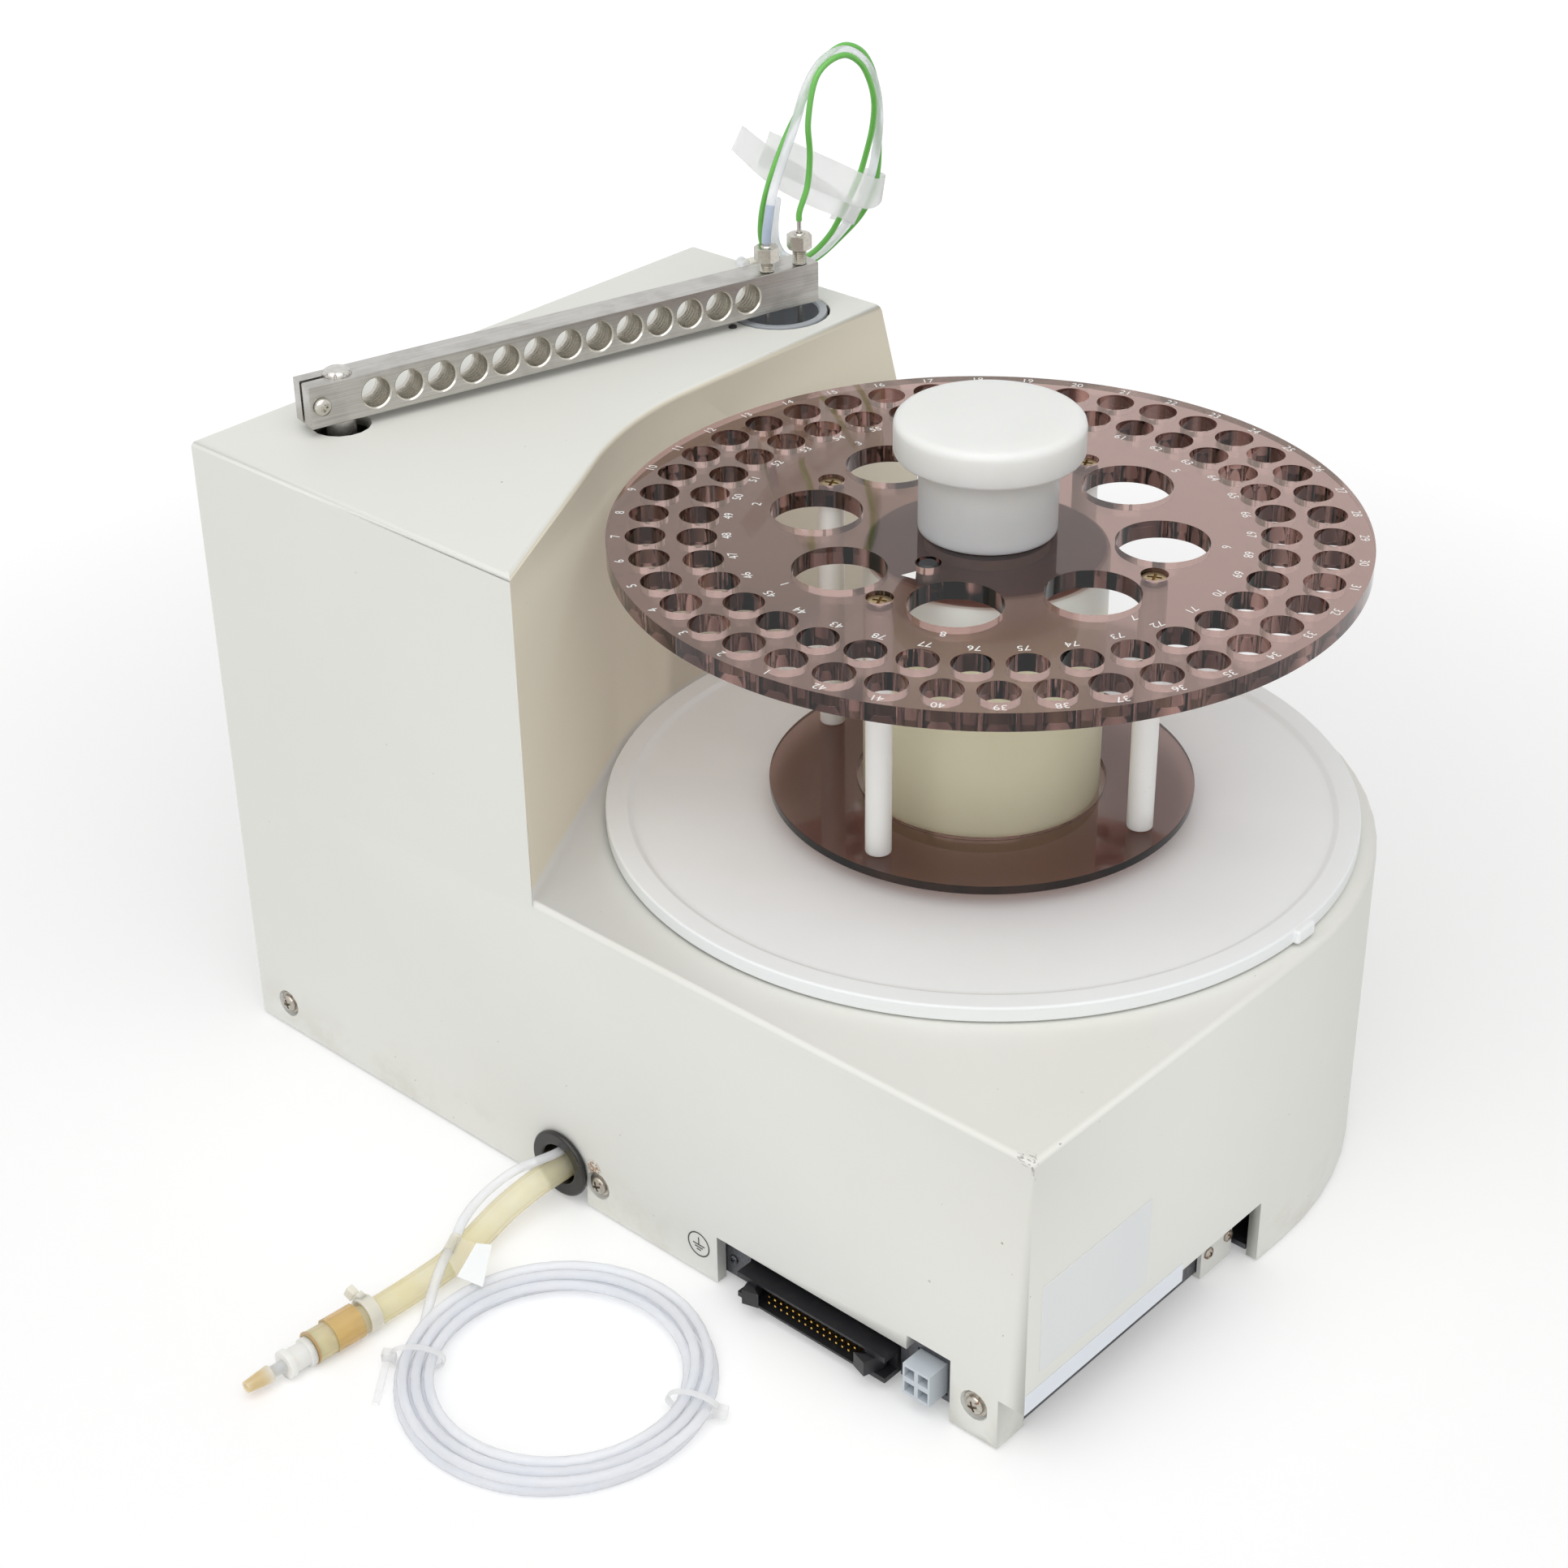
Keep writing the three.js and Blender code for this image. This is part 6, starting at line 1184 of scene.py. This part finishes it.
@dataclass
class Turntable:
    """White tray pan and the cream drum."""

    radius: float = 124.3
    bottom: float = 114.0

    def tray(self) -> None:
        """Build the tray pan with its stepped rim and the small rest on it."""
        r, z = self.radius, self.bottom
        profile = [
            (0, z), (r - 0.8, z), (r, z + 0.8), (r, z + 4.9), (r - 0.2, z + 5.3), (r - 0.6, z + 5.5),
            (r - 6.8, z + 5.4), (r - 7.5, z + 5.2), (r - 8.6, z + 4.4), (r - 9.4, z + 4.1), (r - 11, z + 4),
            (0, z + 4),
        ]
        spun("tray", profile, spot(0, 0, 0), 192, Finish.WHITE, "turntable", "tray_pan", angle=25)
        tab = rounded(box("tray_tab", (9.4, 4.6, 5.0), spot(2.6, -124, self.bottom + 2.9)), 1.1, 4)
        fitted(smooth(tab), Finish.WHITE, "turntable")

    def drum(self) -> None:
        """Build the drum with its locating dowel."""
        profile = [
            (0, 116.3), (39, 116.3), (39, 205.4), (38.5, 206.5), (37.4, 207), (20, 207), (20, 210.4), (0, 210.4),
        ]
        spun("drum", profile, spot(0, 0, 0), 96, Finish.CREAM, "turntable", "hub_drum")
        dowel = [(0, 206), (3.6, 206), (3.6, 215.7), (2.6, 216.7), (0, 216.7)]
        # Painted shade: the peg is black because the hole it fills shows only dark.
        spun("peg", dowel, spot(*DOWEL, 0), 24, Finish.BLACK_PLASTIC, "turntable")

    def build(self) -> None:
        """Build the turntable."""
        self.tray()
        self.drum()


# Arm


@dataclass
class Arm:
    """Hollowed steel bar on its shaft, clamp screw, needles and fittings."""

    bottom: float = 231.8
    height: float = 14.8
    width: float = 12.0
    left: float = -13.0
    right: float = 185.6
    holes: int = 13
    hole_radius: float = 5.1
    first: float = 10.9
    pitch: float = 12.07
    groove: float = 1.5
    needles: tuple[float, float] = (165.6, 179.4)
    needle_back: float = -3
    needle_bore: float = 1.15
    thread: float = 0.7
    nut_height: float = 5.2
    tops: tuple[float, float] = (255.9, 262.0)
    stubs: tuple[float, float] = (3.6, 5.3)
    clamp_screw: tuple[float, float] = (-8.8, -6.3)
    clip_block: Point = (167, 8.5, 242.7)
    clip_head: Point = (163.2, 8.9, 246.2)
    strips: tuple[tuple[str, tuple[tuple[Point, Point], ...]], ...] = (
        ("flag_long", (
            ((164.6, 9.5, 296), (159.8, 9.5, 288.3)), ((176.4, 8.5, 285.7), (174.4, 8.5, 273.6)),
            ((192.6, 3.5, 273.2), (187.3, 3.5, 264.6)), ((203.8, -0.5, 264.3), (199.6, -0.5, 258)),
            ((214.6, 8.5, 258), (211.4, 11, 250)), ((209, 14.5, 259), (205.5, 16.5, 252)),
        )),
        ("flag_short", (
            ((175.8, 9.5, 291.9), (170.5, 9.5, 280.7)), ((183.9, 7, 287.2), (180.3, 7, 275.1)),
            ((197.9, 1, 279.2), (194.3, 1, 267.6)), ((211.1, -4.5, 271.8), (206.7, -4.5, 261.4)),
            ((222, 6, 268.5), (222.8, 9.5, 258.5)), ((217, 13.5, 270), (214, 17.5, 260)),
        )),
    )

    @property
    def middle(self) -> float:
        """Height of the bar's middle, in millimetres."""
        return self.bottom + self.height / 2

    def bar(self) -> None:
        """Build the bar with its cross holes, slot and shaft bore."""
        middle = self.middle
        centre = arm_spot((self.left + self.right) / 2, 0, middle)
        bar = rounded(box("steel_bar", (self.right - self.left, self.width, self.height), centre, ARM_FLAT), 0.4, 2)
        half, step, r = self.width / 2, self.groove, self.hole_radius
        grooves = []
        for j in range(1, int(self.width / step) - 1):
            grooves += [(r, -half + 0.3 + step * j), (r - 0.3, -half + 0.3 + step * (j + 0.5))]
        outline = [(0, -half - 2), (r + 0.6, -half - 0.1), (r, -half + 0.5), *grooves, (r, half - 0.5),
                   (r + 0.6, half + 0.1), (0, half + 2)]
        places = [arm_spot(self.first + k * self.pitch, 0, middle) for k in range(self.holes)]
        through = self.height * 2
        cutters = [
            *[turned("hole", outline, place, 36, ARM_ACROSS) for place in places],
            cylinder("bore", 4.97, through, arm_spot(0, 0, middle), 36),
            box("slot", (16, 1.7, through), arm_spot(-8, 0, middle), ARM_FLAT),
            *[cylinder("bore", self.needle_bore, through, arm_spot(along, self.needle_back, middle), 16)
              for along in self.needles],
        ]
        for piece in (bar, *cutters):
            dress(piece, Finish.STEEL).data.materials.append(Finish.NICKEL.material)
        for piece in cutters:
            piece.data.polygons.foreach_set("material_index", [1] * len(piece.data.polygons))
        cut(bar, cutters)
        fitted(smooth(bar, 25), None, "arm", "arm_bar")

    def shaft(self) -> None:
        """Build the shaft with its socketed top, and the screw that clamps the bar on it."""
        top = self.bottom + self.height
        profile = [(0, 56), (4.9, 56), (4.9, top + 0.3), (4.3, top + 1.3), (3.2, top + 1.9), (0, top + 2.2)]
        piece = turned("shaft", profile, arm_spot(0, 0, 0), 48)
        angles = [radians(40 * k) for k in range(9)]
        places = [arm_spot(4.7 * cos(a), 4.7 * sin(a), top + 2.2) for a in angles]
        nicks = [cylinder("nick", 0.55, 4, place, 12) for place in places]
        fitted(smooth(cut(piece, nicks)), Finish.TURNED_STEEL, "arm", "arm_shaft")
        screw = domed_screw("clamp_screw", 3.0, 2.0, arm_spot(*self.clamp_screw, self.middle), ARM_ACROSS, slots=3)
        fitted(screw, Finish.NICKEL, "arm", "arm_clamp_screw")

    def fittings(self) -> None:
        """Build the needles and their fittings: a threaded neck, a hexagon nut with its edges off, a collar."""
        foot = self.bottom + self.height + 0.3
        for name, along, top, stub in zip(("rinse", "sample"), self.needles, self.tops, self.stubs):
            place = arm_spot(along, self.needle_back, 0)
            cannula = [(0, 136), (0.8, 139), (0.8, top), (0, top)]
            spun(f"{name}_cannula", cannula, place, 20, Finish.TURNED_STEEL, "arm", f"{name}_needle")
            nut, tall, bore = foot + stub, foot + stub + self.nut_height, self.needle_bore
            thread = []
            for j in range(int(stub / self.thread) + 1):
                thread += [(2.55, foot + self.thread * j), (2.15, foot + self.thread * (j + 0.5))]
            neck = turned("neck", [(bore, foot), *thread, (2.3, nut + 0.5), (bore, nut + 0.5)], place, 32)
            hexagon = turned("nut", band(bore, 4.55, nut, tall), place, 6)
            wedges = [[(3.7, z + 0.1 * way), (6, z - 1.1 * way), (6, z + way), (3.7, z + way)]
                      for z, way in ((tall, 1), (nut, -1))]
            cut(hexagon, [turned("ring", wedge, place, 48) for wedge in wedges])
            cone = [(bore, tall - 0.2), (2.2, tall - 0.2), (1.7, tall + 0.5), (bore, tall + 0.5)]
            collar = turned("collar", cone, place, 32)
            piece = smooth(joined(f"{name}_connector", [neck, hexagon, collar]), 25)
            fitted(piece, Finish.NICKEL, "arm", f"{name}_fitting")

    def clip(self) -> None:
        """Build the tube clip on the bar's back: a cream block with a milky round head."""
        block = rounded(box("tube_clip", (4.4, 4.6, 9), arm_spot(*self.clip_block), ARM_FLAT), 0.6, 3)
        fitted(smooth(block), Finish.NYLON, "arm")
        head = [(0, -2.2), (1.7, -2.2), (2.1, -1.7), (2.1, 1.7), (1.7, 2.2), (0, 2.2)]
        spun("clip_head", head, arm_spot(*self.clip_head), 32, Finish.CLEAR_TUBE, "arm", turn=ARM_ACROSS)

    def flags(self) -> None:
        """Build the two bare flags that are wrapped round the tubes."""
        rows = 4
        for name, stations in self.strips:
            upper, lower = (catmull([arm_spot(*ends[k]) for ends in stations], 8) for k in range(2))
            corners = [high.lerp(low, j / rows) for high, low in zip(upper, lower) for j in range(rows + 1)]
            starts = [i * (rows + 1) + j for i in range(len(upper) - 1) for j in range(rows)]
            flag = from_points(name, corners, faces=[(a, a + 1, a + rows + 2, a + rows + 1) for a in starts])
            modify(flag, "SOLIDIFY", thickness=FILM_DEPTH * MM, offset=0)
            fitted(smooth(outward(flag)), Finish.TAPE, "arm")

    def build(self) -> None:
        """Build the arm."""
        self.bar()
        self.shaft()
        self.fittings()
        self.clip()
        self.flags()


# Body


@dataclass
class Cover:
    """The moulded cover, its screws, cup, labels and marks."""

    left: float = -138.5
    front: float = -130.0
    deck: float = 112.0
    screws: tuple[tuple[float, float], ...] = ((206.5, 11.2), (47.3, 11.7), (-111.5, 13.0))
    bracket_screws: tuple[Point, ...] = ((-32.3, -121.95, 9.9), (-21.6, -121.95, 10.4))
    flange_screw: Point = (-134.25, -10, 9.6)
    cup_place: Point = (70, 151.5, 0)
    nub_place: Point = (47.6, 153.4, 0)
    grommet_place: Point = (0, 63.6, 13.5)
    earth_place: tuple[float, float] = (1.4, 12.3)

    def shell(self) -> None:
        """Smooth the CAD's own cover, and round the edges that its hollow leaves sharp."""
        shell = outward(added("shell", frame["nodes"]["cover_shell"].data.copy()))
        modify(shell, "DECIMATE", decimate_type="DISSOLVE", angle_limit=radians(0.02))
        mesh = smooth(shell, 50).data
        sides: dict[tuple[int, int], list[Vector]] = {}
        for face in mesh.polygons:
            for key in face.edge_keys:
                sides.setdefault(key, []).append(face.normal.copy())
        pick(shell)
        bpy.ops.object.mode_set(mode="EDIT")
        bpy.ops.mesh.select_mode(type="EDGE")
        bpy.ops.mesh.select_all(action="DESELECT")
        bpy.ops.object.mode_set(mode="OBJECT")
        for edge in mesh.edges:
            pair = sides[tuple(sorted(edge.vertices))]
            low = min(mesh.vertices[i].co.z for i in edge.vertices)
            turn = degrees(pair[0].angle(pair[1])) if len(pair) == 2 else 0
            edge.select = 35 < turn < 56 and low > self.deck * MM
        bpy.ops.object.mode_set(mode="EDIT")
        bpy.ops.mesh.bevel(offset=0.6 * MM, segments=3, affect="EDGES")
        bpy.ops.object.mode_set(mode="OBJECT")
        fitted(smooth(shell, 50), Finish.COVER, "base", "cover_shell")

    def fasteners(self) -> None:
        """Build the cover's three screws, the bracket's two and the small one in the flange."""
        for place, name in zip(self.screws, ("rear", "middle", "front")):
            centre = spot(self.left + 1.5, *place)
            screw = domed_screw(f"screw_{name}", 3.2, 1.9, centre, LEFTWARDS, 4.5)
            fitted(screw, Finish.ZINC, "base", f"cover_screw_{name}")
        for k, place in enumerate(self.bracket_screws):
            screw = domed_screw(f"bracket_screw_{k + 1}", 2.1, 1.3, spot(*place), (pi / 2, 0, 0))
            fitted(screw, Finish.RUSTY, "base")
        screw = domed_screw("flange_screw", 1.7, 0.8, spot(*self.flange_screw), LEFTWARDS)
        fitted(screw, Finish.DARK_SCREW, "base")

    def cup(self) -> None:
        """Build the rinse cup, and the dark nub beside its port."""
        profile = [
            (0, 5.5), (18, 5.5), (18, 9.5), (9, 9.5), (9, 120), (17.4, 120), (17.4, 228.4), (17, 229), (14.8, 229),
            (14.2, 228.4), (14.2, 124), (0, 124),
        ]
        spun("cup", profile, spot(*self.cup_place), 64, Finish.CUP, "base", "rinse_cup")
        outline = [(0, 228.2), (1.5, 228.2), (1.5, 229.1), (1.2, 229.4), (0, 229.4)]
        spun("port_nub", outline, spot(*self.nub_place), 24, Finish.BLACK_RUBBER, "base")

    def grommet(self) -> None:
        """Build the rubber grommet with its rounded lips."""
        outer, inner = self.left - 0.3, self.left + 4.3
        profile = [
            (7.2, outer - 2.2), (12.2, outer - 2.2), (12.2, outer), (10.4, outer), (10.4, inner), (12.2, inner),
            (12.2, inner + 2.2), (7.2, inner + 2.2),
        ]
        spun("grommet", profile, spot(*self.grommet_place), 64, Finish.GLOSSY_RUBBER, "base", "cable_grommet",
             turn=(0, pi / 2, 0), bevel=(0.95, 5))

    def labels(self) -> None:
        """Lay the bare label and the bare strip."""
        for name, size, x, z, finish in (
            ("bare_label", (53, 0.2, 32), -105.5, 49, Finish.PAPER),
            ("bare_strip", (79, 0.2, 7.2), -98.9, 24, Finish.STRIP),
        ):
            fitted(rounded(box(name, size, spot(x, self.front - 0.12, z)), 0.08, 1), finish, "base")

    def earth_mark(self) -> None:
        """Draw the plain earth symbol: a ring, a stem and three bars."""
        (y, z), out = self.earth_place, self.left - 0.06
        ring = turned("ring", band(4.3, 4.75, 0, 0.08), spot(out, y, z), 48, LEFTWARDS)
        stem = box("bar", (0.1, 0.4, 3.0), spot(out, y, z + 1.3))
        bars = [box("bar", (0.1, width, 0.4), spot(out, y, z - 0.2 - k)) for k, width in enumerate((5.0, 3.4, 1.8))]
        fitted(joined("earth_mark", [ring, stem, *bars]), Finish.DARK_INK, "base")

    def build(self) -> None:
        """Build the cover and what is on it."""
        self.shell()
        self.fasteners()
        self.cup()
        self.grommet()
        self.labels()
        self.earth_mark()


@dataclass
class PlainNodes:
    """CAD nodes whose own shape stays."""

    finishes: tuple[tuple[Finish, tuple[str, ...]], ...] = (
        (Finish.GREY_METAL, ("chassis_plate", "arm_column", "lift_carriage", "spindle_housing")),
        (Finish.COVER, ("notch_bracket",)),
        (Finish.BLACK_RUBBER, ("foot_front_left", "foot_front_right", "foot_rear_left", "foot_rear_right")),
        (Finish.HEADER, ("signal_header",)),
        (Finish.BLACK_PLASTIC, ("header_latch_front", "header_latch_rear")),
        (Finish.SOCKET, ("power_socket",)),
        (Finish.BOARD, ("circuit_board",)),
        (Finish.MOTOR, ("turntable_motor", "lift_motor", "swing_motor")),
        (Finish.TURNED_STEEL, ("spindle_bearing_lower", "spindle_bearing_upper", "turntable_pinion", "spindle",
                               "guide_rod", "swing_pinion", "lift_rack", "lift_pinion")),
        (Finish.ACETAL, ("turntable_gear", "swing_gear", "shaft_bush")),
    )

    def build(self) -> None:
        """Give each node its finish."""
        for finish, names in self.finishes:
            for name in names:
                dress(frame["nodes"][name], finish)
                LOG.info("%s keeps its shape", name)


def main() -> None:
    """Build the scene in order."""
    logging.basicConfig(level=logging.INFO, format="%(name)s: %(message)s")
    for part in (Studio(), DrainLine(), RinseLine(), ArmTubes(), TubeRack(), Turntable(), Arm(), Cover(),
                 PlainNodes()):
        part.build()


if __name__ == "__main__":
    main()
